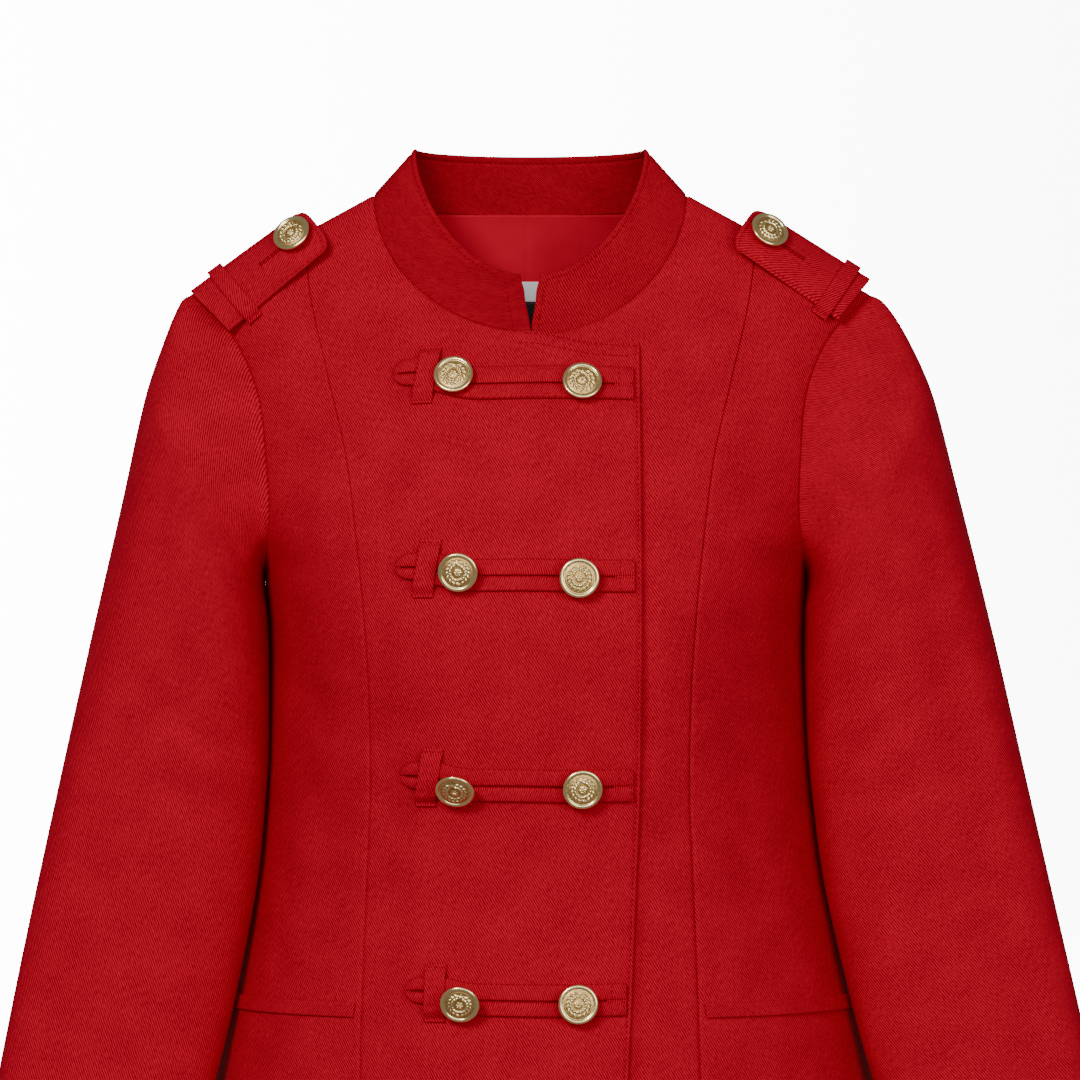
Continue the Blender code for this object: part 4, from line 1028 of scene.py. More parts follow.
def pocket_welt(name, side):
    height = (WELT_LOW + WELT_TALL * spaced(WELT_TALL, EDGE_STEPS[:5], EDGE_STEPS[:5], MM))[:, None]
    princess_x = column(PRINCESS, LINE_COLUMNS, "x", np.array([WELT_LOW]))[0]
    start = turn_at(np.array([side * (princess_x + WELT_FROM_PRINCESS)]), np.array([WELT_LOW]))[0]
    part = spaced(88 * MM, EDGE_STEPS[:5], EDGE_STEPS[:5], 3 * MM)[None, :]
    turn = start + (side * WELT_END - start) * part
    turn, height = np.broadcast_arrays(turn, height)
    level = np.full(turn.shape, LAY_ON)
    flat = on_trunk(turn, height, level)
    edges = [(edge, "fold", 1) for edge in ("low", "top", "start", "end")]
    drop, rise = edge_shape(flat, WELT_CLOTH, edges)
    outer = on_trunk(turn, height, level + WELT_CLOTH - drop)
    inner = on_trunk(turn, height, level + rise)
    piece = wall(name, outer, inner, cloth_plane(flat), cotton_twill, "cotton_twill")
    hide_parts(name)
    return piece


# ------------------------------------------------------------------ buttons

BUTTON_SEGMENTS = 88
BUTTON_FIELD = 8.7  # millimetres: radius of the recessed, sandy field inside the rolled rim


def bump_at(x, y, at_x, at_y, long, wide, turned, high):
    """One small raised leaf or bead of a button's face, in millimetres."""
    sine, cosine = math.sin(turned), math.cos(turned)
    along = (x - at_x) * cosine + (y - at_y) * sine
    off = (y - at_y) * cosine - (x - at_x) * sine
    return high * np.exp(-(((along / long) ** 2 + (off / wide) ** 2) ** 1.5))


def button_relief(x, y):
    """A rosette in an open wreath of leaves, with a small star above: a plain stock design."""
    radius = np.hypot(x, y)
    angle = np.arctan2(y, x)
    relief = 0.55 * (0.72 + 0.28 * np.cos(6 * angle)) * (1 - ease((radius - 1.5) / 1.1))
    relief += 0.35 * np.exp(-((radius / 0.6) ** 2)) - 0.25 * np.exp(-(((radius - 0.95) / 0.25) ** 2))
    for index in range(15):
        way = math.radians(118 + 304 * index / 14)
        for ring, tip in ((4.5, 0.55), (6.6, -0.55)):
            leaf = way + tip * 0.08
            turned = leaf + math.pi / 2 + tip * (1 if index < 7.5 else -1)
            at_x, at_y = ring * math.cos(leaf), ring * math.sin(leaf)
            relief += bump_at(x, y, at_x, at_y, 1.15, 0.48, turned, 0.8)
    for point in range(5):
        way = math.radians(90 + 72 * point)
        at_x, at_y = 0.8 * math.cos(way), 5.6 + 0.8 * math.sin(way)
        relief += bump_at(x, y, at_x, at_y, 0.85, 0.3, way, 0.5)
    for bead in range(44):
        way = math.tau * bead / 44
        relief += bump_at(x, y, 8.1 * math.cos(way), 8.1 * math.sin(way), 0.27, 0.27, 0, 0.16)
    return relief


def brass_button(name, seat, normal, tilt, turned=0.0):
    """Shank, back, rolled rim and struck face, turned into place on its seat."""
    stand = BUTTON_STAND / MM + BUTTON_RADIUS / MM * math.sin(tilt)
    shank = (stand - 0.3 - SHANK_RADIUS / MM * math.sin(tilt)) / math.cos(tilt)
    field = np.concatenate([np.linspace(0.25, BUTTON_FIELD, 34)])
    dome = 3.75 - 0.95 * (field / BUTTON_FIELD) ** 2
    rim_turn = np.linspace(math.radians(165), math.radians(-60), 13)
    rim = np.stack([10.35 + 1.35 * np.cos(rim_turn), 2.3 + 1.1 * np.sin(rim_turn)], 1)
    back = ((10.2, 0.45), (9.0, 0.0), (2.4, 0.0), (2.0, -0.3), (2.0, -shank))
    rings = [(r, h) for r, h in zip(field, dome)] + [tuple(at) for at in rim] + list(back)
    rings = np.array(rings)
    angle = np.linspace(0, math.tau, BUTTON_SEGMENTS, endpoint=False)
    x = rings[:, :1] * np.cos(angle)
    y = rings[:, :1] * np.sin(angle)
    height = rings[:, 1:] + 0 * x
    relief = button_relief(x[: len(field)], y[: len(field)])
    height[: len(field)] += relief
    # Painted light: 1 on the raised relief, the rim and the back, where the brass gets its painted highlight
    # colour; 0 in the recesses, where it gets its painted shade colour. The same share makes the raised parts
    # smoother.
    raised_polish_and_painted_light = np.concatenate([np.clip(relief / 0.55, 0, 1), np.ones((len(rings) - len(field),) + angle.shape)])
    top = [0, 0, height[0].mean()]
    bottom = [0, 0, -shank]
    points = np.concatenate([np.stack([x, y, height], -1).reshape(-1, 3), [top], [bottom]]) * MM
    raised_polish_and_painted_light = np.concatenate([raised_polish_and_painted_light.ravel(), [1, 1]])
    count = len(rings)
    faces = []
    for ring in range(count - 1):
        for place in range(BUTTON_SEGMENTS):
            after = (place + 1) % BUTTON_SEGMENTS
            low, high = ring * BUTTON_SEGMENTS, (ring + 1) * BUTTON_SEGMENTS
            faces.append((low + place, high + place, high + after, low + after))
    last = (count - 1) * BUTTON_SEGMENTS
    for place in range(BUTTON_SEGMENTS):
        after = (place + 1) % BUTTON_SEGMENTS
        faces.append((len(points) - 2, place, after))
        faces.append((len(points) - 1, last + after, last + place))
    face = Vector(normal).normalized()
    sideways = face.cross(Vector((0, 0, 1))).normalized()
    upward = sideways.cross(face).normalized()
    looking = (face * math.cos(tilt) - upward * math.sin(tilt)).normalized()
    right = -sideways
    above = looking.cross(right).normalized()
    spun_right = right * math.cos(turned) + above * math.sin(turned)
    spun_above = above * math.cos(turned) - right * math.sin(turned)
    axes = np.array([spun_right, spun_above, looking])
    placed = points @ axes + np.array(Vector(seat) + face * stand * MM)
    mesh = bpy.data.meshes.new(name)
    mesh.from_pydata(placed.tolist(), [], faces)
    mesh.polygons.foreach_set("use_smooth", np.ones(len(faces), bool))
    layer = mesh.attributes.new("raised_polish_and_painted_light", "FLOAT", "POINT")
    layer.data.foreach_set("value", raised_polish_and_painted_light.astype(np.float32))
    mesh.materials.append(struck_brass)
    mesh.update()
    piece = bpy.data.objects.new(name + "_struck", mesh)
    jacket.objects.link(piece)
    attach(piece, "root")
    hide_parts(name)
    return piece


def front_button(name, x, height, tilt, turned):
    seat, above = (
        on_front(np.array(x), np.array(height), np.array(LAY_ON + TAPE_CLOTH + extra))
        for extra in (0, MM)
    )
    brass_button(name, seat, above - seat, tilt, turned)


def epaulette_button(name, side, turned):
    along, over = EPAULETTE_BUTTON
    seat, above = (
        on_epaulette(side, np.array(along), np.array(over), np.array(STRAP_CLOTH + extra))
        for extra in (0, MM)
    )
    brass_button(name, seat, above - seat, 0, turned)


# ------------------------------------------------------------------ stitches


def line_at(piece, side, distance, start=0.0, end=1.0):
    """A line over a cloth piece at one distance from one of its edges."""
    points = grids[piece]
    away = distance_from(points, side)
    if side in ("low", "top"):
        points, away = points.swapaxes(0, 1), away.T
    order = slice(None, None, -1) if side in ("top", "end") else slice(None)
    line = np.array(
        [[np.interp(distance, run[order], row[order, axis]) for axis in range(3)]
         for run, row in zip(away, points)]
    )
    length = np.concatenate([[0], np.cumsum(np.linalg.norm(np.diff(line, axis=0), axis=1))])
    length /= length[-1]
    wanted = np.linspace(start, end, 240)
    return np.stack([np.interp(wanted, length, line[:, axis]) for axis in range(3)], -1)


def stitches_on(line, pitch=STITCH_PITCH, long=STITCH_LONG):
    """Pairs of ends, one pair a stitch, along a line."""
    length = np.concatenate([[0], np.cumsum(np.linalg.norm(np.diff(line, axis=0), axis=1))])
    count = max(1, int(length[-1] / pitch))
    middle = (np.arange(count) + 0.5) * length[-1] / count
    ends = np.stack([middle - long / 2, middle + long / 2], -1)
    return np.stack([np.interp(ends, length, line[:, axis]) for axis in range(3)], -1)


def crossings(start, end, way, count, long):
    """Pairs of ends of short stitches that lie side by side across a line."""
    part = ((np.arange(count) + 0.5) / count)[:, None]
    middle = start + (end - start) * part
    return np.stack([middle - way * long / 2, middle + way * long / 2], 1)


def stitch_tree():
    """Geometry Nodes: every edge of the guide mesh becomes one rounded thread stitch."""
    tree = bpy.data.node_groups.new("thread_stitches", "GeometryNodeTree")
    tree.interface.new_socket("Guide", in_out="INPUT", socket_type="NodeSocketGeometry")
    for label, value in (("Thread Thickness", STITCH_THICK), ("Stitch Overlap", 1.0)):
        socket = tree.interface.new_socket(label, in_out="INPUT", socket_type="NodeSocketFloat")
        socket.default_value = value
    tree.interface.new_socket("Thread", in_out="INPUT", socket_type="NodeSocketMaterial")
    tree.interface.new_socket("Stitches", in_out="OUTPUT", socket_type="NodeSocketGeometry")
    sizes = node(tree, "NodeGroupInput").outputs
    ends = node(tree, "GeometryNodeInputMeshEdgeVertices").outputs
    run = node(
        tree,
        "ShaderNodeVectorMath",
        {0: ends["Position 2"], 1: ends["Position 1"]},
        operation="SUBTRACT",
    )
    kept = tree.nodes.new("GeometryNodeCaptureAttribute")
    kept.domain = "EDGE"
    kept.capture_items.new("VECTOR", "Run")
    tree.links.new(sizes["Guide"], kept.inputs["Geometry"])
    tree.links.new(run.outputs["Vector"], kept.inputs["Run"])
    points = node(tree, "GeometryNodeMeshToPoints", {"Mesh": kept.outputs["Geometry"]}, mode="EDGES")
    turn = node(tree, "FunctionNodeAlignRotationToVector", {"Vector": kept.outputs["Run"]}, axis="Z")
    long = node(tree, "ShaderNodeVectorMath", {0: kept.outputs["Run"]}, operation="LENGTH")
    stretch = node(
        tree,
        "ShaderNodeMath",
        {0: long.outputs["Value"], 1: sizes["Stitch Overlap"]},
        operation="MULTIPLY",
    )
    scale = node(
        tree,
        "ShaderNodeCombineXYZ",
        {"X": sizes["Thread Thickness"], "Y": sizes["Thread Thickness"], "Z": stretch.outputs[0]},
    )
    bead = node(tree, "GeometryNodeMeshUVSphere", {"Segments": 6, "Rings": 5, "Radius": 0.5})
    laid = node(
        tree,
        "GeometryNodeInstanceOnPoints",
        {
            "Points": points.outputs[0],
            "Instance": bead.outputs["Mesh"],
            "Rotation": turn.outputs[0],
            "Scale": scale.outputs[0],
        },
    )
    real = node(tree, "GeometryNodeRealizeInstances", {"Geometry": laid.outputs[0]})
    smooth = node(tree, "GeometryNodeSetShadeSmooth", {"Geometry": real.outputs[0]})
    finished = node(
        tree,
        "GeometryNodeSetMaterial",
        {"Geometry": smooth.outputs[0], "Material": sizes["Thread"]},
    )
    result = tree.nodes.new("NodeGroupOutput")
    tree.links.new(finished.outputs[0], result.inputs["Stitches"])
    return tree


def sewn_thread(name, stitches, thick=STITCH_THICK):
    """All the stitches of one place as one plain mesh."""
    ends = np.concatenate(stitches).reshape(-1, 3)
    edges = np.arange(len(ends)).reshape(-1, 2)
    guide_mesh = bpy.data.meshes.new(name + "_guide")
    guide_mesh.from_pydata(ends.tolist(), edges.tolist(), [])
    guide = bpy.data.objects.new(name + "_guide", guide_mesh)
    jacket.objects.link(guide)
    modifier = guide.modifiers.new("stitches", "NODES")
    modifier.node_group = stitches_tree
    sockets = {item.name: item.identifier for item in stitches_tree.interface.items_tree}
    modifier[sockets["Thread Thickness"]] = thick
    modifier[sockets["Thread"]] = cotton_thread_painted_shade
    graph = bpy.context.evaluated_depsgraph_get()
    made = bpy.data.meshes.new_from_object(guide.evaluated_get(graph), depsgraph=graph)
    made.name = name
    bpy.data.objects.remove(guide)
    piece = bpy.data.objects.new(name, made)
    jacket.objects.link(piece)
    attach(piece, "root")
    return piece


# ------------------------------------------------------------------ finishes


def linear(colour):
    """A linear colour from an sRGB hex value."""
    parts = [int(colour[place : place + 2], 16) / 255 for place in (0, 2, 4)]
    parts = [part / 12.92 if part <= 0.04045 else ((part + 0.055) / 1.055) ** 2.4 for part in parts]
    return (*parts, 1.0)


def node(tree, kind, inputs=(), **settings):
    """Adds a node with its settings; an input is given a value or the socket that feeds it."""
    made = tree.nodes.new(kind)
    for key, value in settings.items():
        setattr(made, key, value)
    for key, value in dict(inputs).items():
        if isinstance(value, bpy.types.NodeSocket):
            tree.links.new(value, made.inputs[key])
        else:
            made.inputs[key].default_value = value
    return made


def finish_of(name):
    material = bpy.data.materials.new(name)
    material.use_nodes = True
    return material, material.node_tree, material.node_tree.nodes["Principled BSDF"]


def set_shader(shader, **values):
    for key, value in values.items():
        shader.inputs[key.replace("_", " ")].default_value = value


TWILL_PITCH = 1.35 * MM  # one twill rib
TWILL_TURN = math.radians(-30)  # ribs lean 30 degrees off the warp, down to the right


def make_cotton_twill(name, dark, light):
    """Cotton twill, piece-dyed and washed: fine slanting ribs, a matt face, slightly uneven dye; the colour is
    lighter on each rib's crest and darker between ribs, painted highlight and painted shade.
    """
    material, tree, shader = finish_of(name)
    cloth = node(tree, "ShaderNodeUVMap", uv_map="cloth").outputs["UV"]
    wobble = node(tree, "ShaderNodeTexNoise", {"Vector": cloth, "Scale": 110.0, "Detail": 2.0})
    centred = node(
        tree, "ShaderNodeVectorMath", {0: wobble.outputs["Color"], 1: (0.5, 0.5, 0.5)}, operation="SUBTRACT"
    )
    pushed = node(
        tree,
        "ShaderNodeVectorMath",
        {0: centred.outputs[0], 1: (0.0009, 0.0009, 0.0), 2: cloth},
        operation="MULTIPLY_ADD",
    )
    ribs = node(
        tree, "ShaderNodeMapping", {"Vector": pushed.outputs[0], "Rotation": (0, 0, TWILL_TURN)}
    )
    across = node(tree, "ShaderNodeSeparateXYZ", {"Vector": ribs.outputs[0]}).outputs["X"]
    phase = node(
        tree, "ShaderNodeMath", {0: across, 1: math.tau / TWILL_PITCH}, operation="MULTIPLY"
    )
    wave = node(tree, "ShaderNodeMath", {0: phase.outputs[0]}, operation="SINE")
    # Slubs: short runs of thicker yarn along the ribs, 0.8 mm wide and 3 mm long.
    slub_place = node(
        tree,
        "ShaderNodeMapping",
        {"Vector": ribs.outputs[0], "Scale": (1 / (0.8 * MM), 1 / (3 * MM), 1)},
    )
    slub = node(
        tree, "ShaderNodeTexNoise", {"Vector": slub_place.outputs[0], "Scale": 1.0, "Detail": 2.0}
    )
    dye = node(tree, "ShaderNodeTexNoise", {"Vector": cloth, "Scale": 38.0, "Detail": 4.0})
    weave = node(
        tree,
        "ShaderNodeMath",
        {0: wave.outputs[0], 1: 0.36, 2: slub.outputs["Fac"]},
        operation="MULTIPLY_ADD",
    )
    dye_slub_and_painted_rib_shade = node(
        tree,
        "ShaderNodeMath",
        {0: dye.outputs["Fac"], 1: 0.35, 2: weave.outputs[0]},
        operation="MULTIPLY_ADD",
    )
    shade = node(tree, "ShaderNodeMapRange", {"Value": dye_slub_and_painted_rib_shade.outputs[0], "From Min": 0.15, "From Max": 1.2})
    # Colour: the rib wave paints highlight on the crests and shade between the ribs; the slubs and the dye noise
    # are the cloth's own uneven tone.
    colour = node(
        tree,
        "ShaderNodeMix",
        {0: shade.outputs[0], 6: linear(dark), 7: linear(light)},
        data_type="RGBA",
    )
    puckers = node(tree, "ShaderNodeTexNoise", {"Vector": cloth, "Scale": 26.0, "Detail": 2.0})
    uneven = node(
        tree, "ShaderNodeBump", {"Strength": 0.35, "Distance": 0.0012, "Height": puckers.outputs["Fac"]}
    )
    relief = node(
        tree,
        "ShaderNodeBump",
        {"Strength": 0.8, "Distance": 0.00032, "Height": weave.outputs[0], "Normal": uneven.outputs[0]},
    )
    tree.links.new(colour.outputs[2], shader.inputs["Base Color"])
    tree.links.new(relief.outputs[0], shader.inputs["Normal"])
    set_shader(shader, Roughness=0.86, Specular_IOR_Level=0.3, Specular_Tint=linear("c8141f"))
    set_shader(shader, Sheen_Weight=0.06, Sheen_Roughness=0.45, Sheen_Tint=linear("e0202c"))
    return material


def make_lining():
    """Polyester satin lining, woven smooth: a soft gloss and faint fine threads; its red is lighter on the crests
    of the soft folds and darker in their troughs, painted light.
    """
    material, tree, shader = finish_of("satin_lining")
    cloth = node(tree, "ShaderNodeUVMap", uv_map="cloth").outputs["UV"]
    threads = node(
        tree, "ShaderNodeMapping", {"Vector": cloth, "Scale": (1 / (0.5 * MM), 1 / (6 * MM), 1)}
    )
    fine = node(tree, "ShaderNodeTexNoise", {"Vector": threads.outputs[0], "Scale": 1.0, "Detail": 1.0})
    folds = node(tree, "ShaderNodeTexNoise", {"Vector": cloth, "Scale": 30.0, "Detail": 2.0})
    # Painted light: the colour follows the fold noise that also makes the bumps, painted highlight on the crests
    # and painted shade in the troughs.
    colour = node(
        tree,
        "ShaderNodeMix",
        {0: folds.outputs["Fac"], 6: linear("c4142c"), 7: linear("dc1c36")},
        data_type="RGBA",
    )
    soft = node(
        tree, "ShaderNodeBump", {"Strength": 0.5, "Distance": 0.002, "Height": folds.outputs["Fac"]}
    )
    relief = node(
        tree,
        "ShaderNodeBump",
        {"Strength": 0.3, "Distance": 0.0001, "Height": fine.outputs["Fac"], "Normal": soft.outputs[0]},
    )
    tree.links.new(colour.outputs[2], shader.inputs["Base Color"])
    tree.links.new(relief.outputs[0], shader.inputs["Normal"])
    set_shader(shader, Roughness=0.55, Specular_IOR_Level=0.4, Specular_Tint=linear("d0303a"))
    return material


def make_thread():
    """Spun cotton sewing thread, matt, with a fine twist; its red is darker than the cloth's, painted shade for
    the shadows in the stitch holes.
    """
    material, tree, shader = finish_of("cotton_thread_painted_shade")
    place = node(tree, "ShaderNodeTexCoord").outputs["Object"]
    twist = node(tree, "ShaderNodeTexNoise", {"Vector": place, "Scale": 2500.0, "Detail": 1.0})
    # Painted shade: both reds are darker than the cloth's, standing in for the shadows of the stitch holes.
    colour = node(
        tree,
        "ShaderNodeMix",
        {0: twist.outputs["Fac"], 6: linear("6a0614"), 7: linear("9c1022")},
        data_type="RGBA",
    )
    relief = node(
        tree, "ShaderNodeBump", {"Strength": 0.5, "Distance": 0.0001, "Height": twist.outputs["Fac"]}
    )
    tree.links.new(colour.outputs[2], shader.inputs["Base Color"])
    tree.links.new(relief.outputs[0], shader.inputs["Normal"])
    set_shader(shader, Roughness=0.75, Specular_IOR_Level=0.3, Specular_Tint=linear("d0303a"))
    return material


def make_brass():
    """Struck brass, pale gold, sandy in the recesses; its colour is painted light: a painted highlight on the
    raised relief and rim, and painted shade, browner, in the recesses.
    """
    material, tree, shader = finish_of("struck_brass")
    raised_polish_and_painted_light = node(tree, "ShaderNodeAttribute", attribute_name="raised_polish_and_painted_light").outputs["Fac"]
    place = node(tree, "ShaderNodeTexCoord").outputs["Object"]
    sand = node(tree, "ShaderNodeTexNoise", {"Vector": place, "Scale": 2200.0, "Detail": 3.0})
    stain = node(tree, "ShaderNodeTexNoise", {"Vector": place, "Scale": 500.0, "Detail": 2.0})
    stain_and_painted_light = node(
        tree,
        "ShaderNodeMath",
        {0: stain.outputs["Fac"], 1: 0.5, 2: raised_polish_and_painted_light},
        operation="MULTIPLY_ADD",
    )
    share = node(tree, "ShaderNodeMapRange", {"Value": stain_and_painted_light.outputs[0], "From Min": 0.15, "From Max": 0.75})
    # Painted highlight on the raised parts and painted shade in the recesses, with a little random staining mixed
    # in.
    colour = node(
        tree,
        "ShaderNodeMix",
        {0: share.outputs[0], 6: linear("c08c42"), 7: linear("ffe6a6")},
        data_type="RGBA",
    )
    rough = node(
        tree, "ShaderNodeMapRange", {"Value": raised_polish_and_painted_light, "To Min": 0.42, "To Max": 0.2}
    )
    depth = node(tree, "ShaderNodeMapRange", {"Value": raised_polish_and_painted_light, "To Min": 0.8, "To Max": 0.08})
    relief = node(
        tree,
        "ShaderNodeBump",
        {"Strength": depth.outputs[0], "Distance": 0.00012, "Height": sand.outputs["Fac"]},
    )
    tree.links.new(colour.outputs[2], shader.inputs["Base Color"])
    tree.links.new(rough.outputs[0], shader.inputs["Roughness"])
    tree.links.new(relief.outputs[0], shader.inputs["Normal"])
    set_shader(shader, Metallic=1.0)
    return material


def make_label(name, dark, light):
    """Woven polyester label tape: dense flat threads with a slight gloss."""
    material, tree, shader = finish_of(name)
    cloth = node(tree, "ShaderNodeUVMap", uv_map="cloth").outputs["UV"]
    threads = node(
        tree, "ShaderNodeMapping", {"Vector": cloth, "Scale": (1 / (0.35 * MM), 1 / (0.35 * MM), 1)}
    )
    weave = node(tree, "ShaderNodeTexChecker", {"Vector": threads.outputs[0], "Scale": 1.0})
    fuzz = node(tree, "ShaderNodeTexNoise", {"Vector": cloth, "Scale": 900.0, "Detail": 2.0})
    height = node(
        tree, "ShaderNodeMath", {0: weave.outputs["Fac"], 1: 0.5, 2: fuzz.outputs["Fac"]}, operation="MULTIPLY_ADD"
    )
    colour = node(
        tree,
        "ShaderNodeMix",
        {0: fuzz.outputs["Fac"], 6: linear(dark), 7: linear(light)},
        data_type="RGBA",
    )
    relief = node(
        tree, "ShaderNodeBump", {"Strength": 0.4, "Distance": 0.0001, "Height": height.outputs[0]}
    )
    tree.links.new(colour.outputs[2], shader.inputs["Base Color"])
    tree.links.new(relief.outputs[0], shader.inputs["Normal"])
    set_shader(shader, Roughness=0.6)
    return material


def make_studio_paper():
    """Seamless white paper that glows by its own emission, with no lamp behind it: painted light, brighter on the
    left than on the right.
    """
    material, tree, shader = finish_of("studio_paper")
    place = node(tree, "ShaderNodeTexCoord").outputs["Object"]
    across = node(tree, "ShaderNodeSeparateXYZ", {"Vector": place}).outputs["X"]
    # Painted light: the glow falls off from left to right, as light from the left would fall across the paper.
    painted_falloff_glow = node(
        tree,
        "ShaderNodeMapRange",
        {"Value": across, "From Min": -1.1, "From Max": 1.1, "To Min": 14.5, "To Max": 9.5},
    )
    fibre = node(tree, "ShaderNodeTexNoise", {"Vector": place, "Scale": 3.0, "Detail": 3.0})
    colour = node(
        tree,
        "ShaderNodeMix",
        {0: fibre.outputs["Fac"], 6: linear("eeeeee"), 7: linear("f4f4f4")},
        data_type="RGBA",
    )
    tree.links.new(colour.outputs[2], shader.inputs["Base Color"])
    tree.links.new(painted_falloff_glow.outputs[0], shader.inputs["Emission Strength"])
    set_shader(shader, Roughness=0.95, Emission_Color=(1, 1, 1, 1))
    material.cycles.emission_sampling = "NONE"
    return material


# ------------------------------------------------------------------ camera, light and stage


def set_camera():
    data = bpy.data.cameras.new("photo_view")
    data.lens = CAMERA_LENS
    data.clip_end = 60
    camera = bpy.data.objects.new("photo_view", data)
    camera.location = CAMERA_AT
    camera.rotation_euler = (math.pi / 2, 0, 0)
    bpy.context.scene.collection.objects.link(camera)
    bpy.context.scene.camera = camera


def softbox(name, place, aim, side, watts):
    data = bpy.data.lights.new(name, "AREA")
    data.shape = "SQUARE"
    data.size = side
    data.energy = watts
    light = bpy.data.objects.new(name, data)
    light.location = place
    way = Vector(aim) - Vector(place)
    light.rotation_euler = way.to_track_quat("-Z", "Y").to_euler()
    light.visible_camera = False
    bpy.context.scene.collection.objects.link(light)


def set_stage(low):
    """A round floor whose edge curves up into a backdrop, so that every view has one."""
    floor_z = low - 0.5 * MM
    profile = [(0.0, 0.0), (4.0, 0.0), (7.5, 0.0)]
    for part in np.linspace(0, 1, 9)[1:]:
        turn = part * math.pi / 2
        profile.append((7.5 + 1.5 * math.sin(turn), 1.5 * (1 - math.cos(turn))))
    profile.append((9.0, 7.0))
    profile = np.array(profile)
    angle = np.linspace(0, math.tau, 72, endpoint=False)
    ring = [[(r * math.cos(a), r * math.sin(a), floor_z + h) for a in angle] for r, h in profile[1:]]
    points = [(0, 0, floor_z)] + [point for row in ring for point in row]
    faces = [(0, 1 + place, 1 + (place + 1) % 72) for place in range(72)]
    for row in range(len(ring) - 1):
        for place in range(72):
            after = (place + 1) % 72
            low_at, high_at = 1 + row * 72, 1 + (row + 1) * 72
            faces.append((low_at + place, high_at + place, high_at + after, low_at + after))
    mesh = bpy.data.meshes.new("studio_floor")
    mesh.from_pydata(points, [], faces)
    mesh.polygons.foreach_set("use_smooth", np.ones(len(faces), bool))
    mesh.materials.append(make_studio_paper())
    mesh.update()
    floor = bpy.data.objects.new("studio_floor", mesh)
    bpy.context.scene.collection.objects.link(floor)
    # The paper's glow is for the camera alone: the jacket is lit by the world and the softboxes.
    floor.visible_diffuse = False
    floor.visible_glossy = False
    world = bpy.data.worlds.new("studio")
    bpy.context.scene.world = world
    world.use_nodes = True
    background = world.node_tree.nodes["Background"]
    background.inputs["Color"].default_value = (1.0, 1.0, 1.0, 1)
    background.inputs["Strength"].default_value = 0.2
    softbox("key", (-1.8, -3.9, 1.7), (0, 0, -0.25), 1.3, 116)
    softbox("fill", (2.4, -4.0, 0.2), (0, 0, -0.3), 2.2, 76)
    softbox("front card", (0, -4.8, 0.5), (0, 0, -0.25), 2.6, 44)


# ------------------------------------------------------------------ make the jacket

set_camera()
jacket = bpy.data.collections.new("jacket_looks")
bpy.context.scene.collection.children.link(jacket)
cotton_twill = make_cotton_twill("cotton_twill_dyed", "780618", "da1a32")
# Painted shade: the collar's cloth is the same twill mixed darker, standing in for the shade that the light's
# direction puts on the collar.
collar_twill_painted_shade = make_cotton_twill("cotton_twill_collar_painted_shade", "6a0614", "ca172c")
satin_lining = make_lining()
cotton_thread_painted_shade = make_thread()
struck_brass = make_brass()
white_label = make_label("woven_label_white", "f0f0f0", "ffffff")
black_label = make_label("woven_label_black", "101012", "1c1c1f")
stitches_tree = stitch_tree()

front_panel("front_right", RIGHT, crosses=True)
front_panel("front_left", LEFT, crosses=False)
for word, side in (("left", LEFT), ("right", RIGHT)):
    side_front_panel(f"side_front_{word}", side)
    back_panel(f"back_{word}", side)
    sleeve(f"sleeve_{word}", side)
    epaulette(f"epaulette_{word}", side)
    epaulette_keeper(f"epaulette_loop_{word}", side)
    epaulette_button(f"epaulette_button_{word}", side, math.radians(20 * side))
    pocket_welt(f"pocket_welt_{word}", side)
collar()
lining_at = CLOTH + LINING_AIR
inside_back(
    "back_neck_lining",
    -LINING_DEPTH,
    -NECK_BACK_DROP + 1.0 * MM,
    LINING_REACH,
    lining_at,
    LINING,
    satin_lining,
    "lining",
    grooves=((-2, 0.5, 0.9), (32, 0.25, 1.4)),
)
label_at = lining_at + LINING + LAY_ON
label_low = LABEL_TOP - LABEL_TALL
inside_back(
    "neck_label", label_low, LABEL_TOP, LABEL_HALF, label_at, LABEL_CLOTH, white_label, "label_white"
)
tab_top = label_low - 0.5 * MM
inside_back(
    "size_tab", tab_top - TAB_TALL, tab_top, TAB_HALF, label_at, LABEL_CLOTH, black_label, "label_black"
)
for number, row in enumerate(FROGS, 1):
    frog_tape(number, row)
    frog_keeper(number, row)
for column_name, table in (("inner", BUTTONS_INNER), ("outer", BUTTONS_OUTER)):
    for number, (x, z, tilt) in enumerate(table, 1):
        turned = math.radians(7 * ((number * 5) % 4 - 1.5))
        front_button(f"button_{column_name}_{number}", x * MM, z * MM, math.radians(tilt), turned)

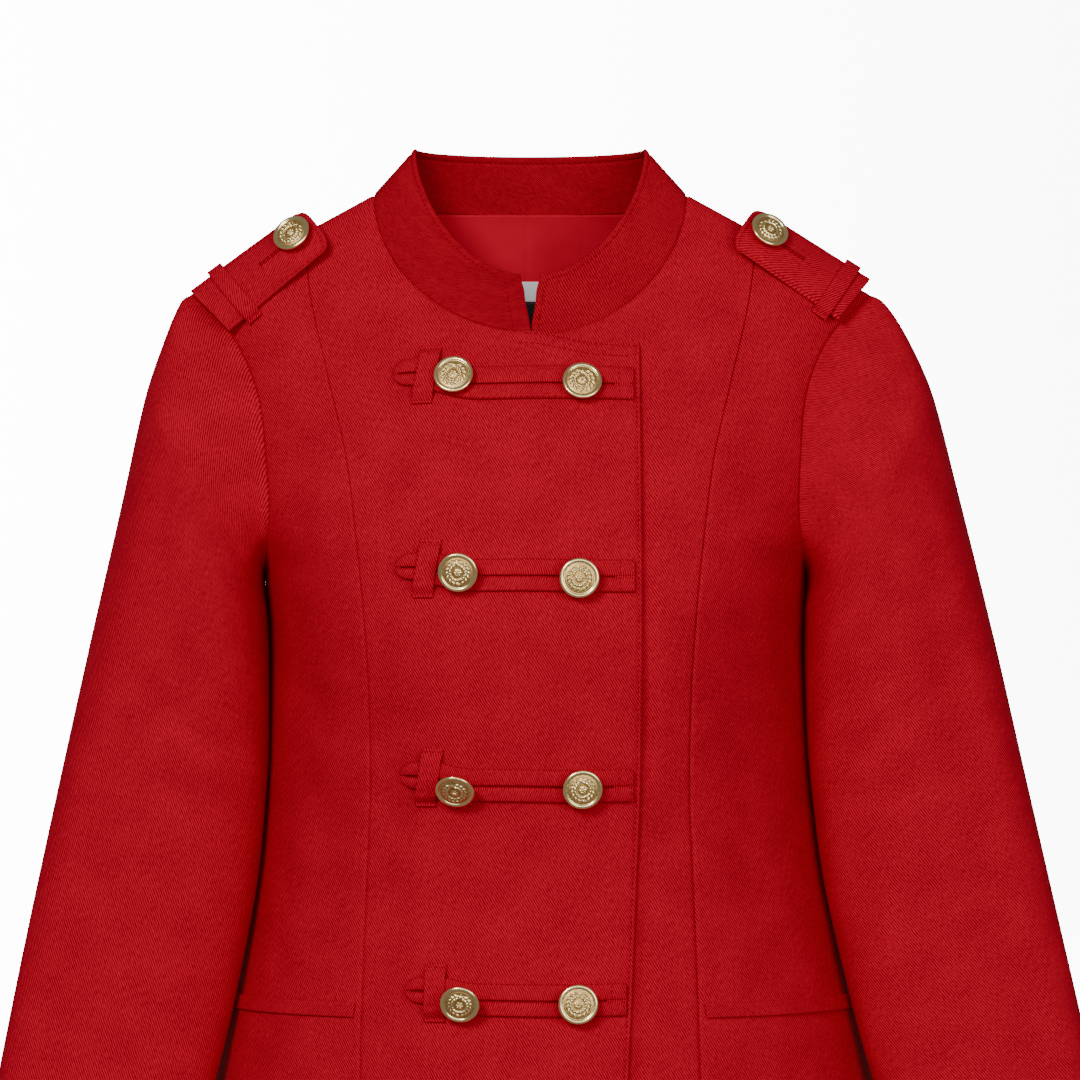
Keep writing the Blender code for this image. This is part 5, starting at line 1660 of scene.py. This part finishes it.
plain_share = 0.32  # of the upper front's top line, from the front edge to the slit
sewn_thread(
    "front_edge_stitches",
    [
        stitches_on(line_at("front_right", "start", 2.6 * MM)),
        stitches_on(line_at("front_right", "top", 1.4 * MM, 0.01, plain_share)),
        stitches_on(line_at("front_right", "top", 9.4 * MM, 0.03, plain_share)),
    ],
)
sewn_thread(
    "collar_stitches",
    [
        stitches_on(line_at("collar", "top", 4.6 * MM, 0.012, 0.965)),
        stitches_on(line_at("collar_inside", "top", 4.6 * MM, 0.012, 0.965)),
        stitches_on(line_at("collar", "start", 4.6 * MM, 0.04, 0.88)),
        stitches_on(line_at("collar", "end", 11 * MM, 0.04, 0.88)),
    ],
)
tape_rows = []
for number in range(1, len(FROGS) + 1):
    tape_rows.append(stitches_on(line_at(f"frog_{number}", "end", 1.6 * MM, 0.02, 0.98)))
    tape_rows.append(stitches_on(line_at(f"frog_{number}", "end", 9.2 * MM, 0.02, 0.98)))
    tape_rows.append(stitches_on(line_at(f"frog_{number}_low", "low", 0.9 * MM, 0.04, 1)))
    tape_rows.append(stitches_on(line_at(f"frog_{number}_top", "top", 0.9 * MM, 0.04, 1)))
    for edge in ("low", "top"):
        tape_rows.append(stitches_on(line_at(f"frog_loop_{number}", edge, 2.4 * MM, 0.05, 0.95)))
sewn_thread("frog_stitches", tape_rows, 0.5 * MM)
strap_rows = []
for word in ("left", "right"):
    strap = f"epaulette_{word}"
    strap_rows += [stitches_on(line_at(strap, edge, 3.4 * MM, 0.05, 1)) for edge in ("start", "end")]
    strap_rows.append(stitches_on(line_at(strap, "low", 3.4 * MM, 0.09, 0.91)))
    strap_rows.append(stitches_on(line_at(f"epaulette_loop_{word}", "low", 2.4 * MM, 0.05, 0.95)))
sewn_thread("epaulette_stitches", strap_rows, 0.5 * MM)
holes = []
for side in (LEFT, RIGHT):
    middle = np.array(EPAULETTE_BUTTON[1])
    lift = np.array(STRAP_CLOTH)
    for lower, upper in ((-1.5, -0.1), (0.1, 1.5)):
        start, end = (
            on_epaulette(side, np.array(along * MM), middle + (lower + upper) / 2 * MM, lift)
            for along in (14, 42)
        )
        over = on_epaulette(side, np.array(20 * MM), middle + 2 * MM, lift)
        under = on_epaulette(side, np.array(20 * MM), middle, lift)
        way = (over - under) / np.linalg.norm(over - under)
        holes.append(crossings(start, end, way, 56, 1.3 * MM))
sewn_thread("epaulette_buttonholes", holes, 0.5 * MM)

set_stage(cad_corners[0][2])
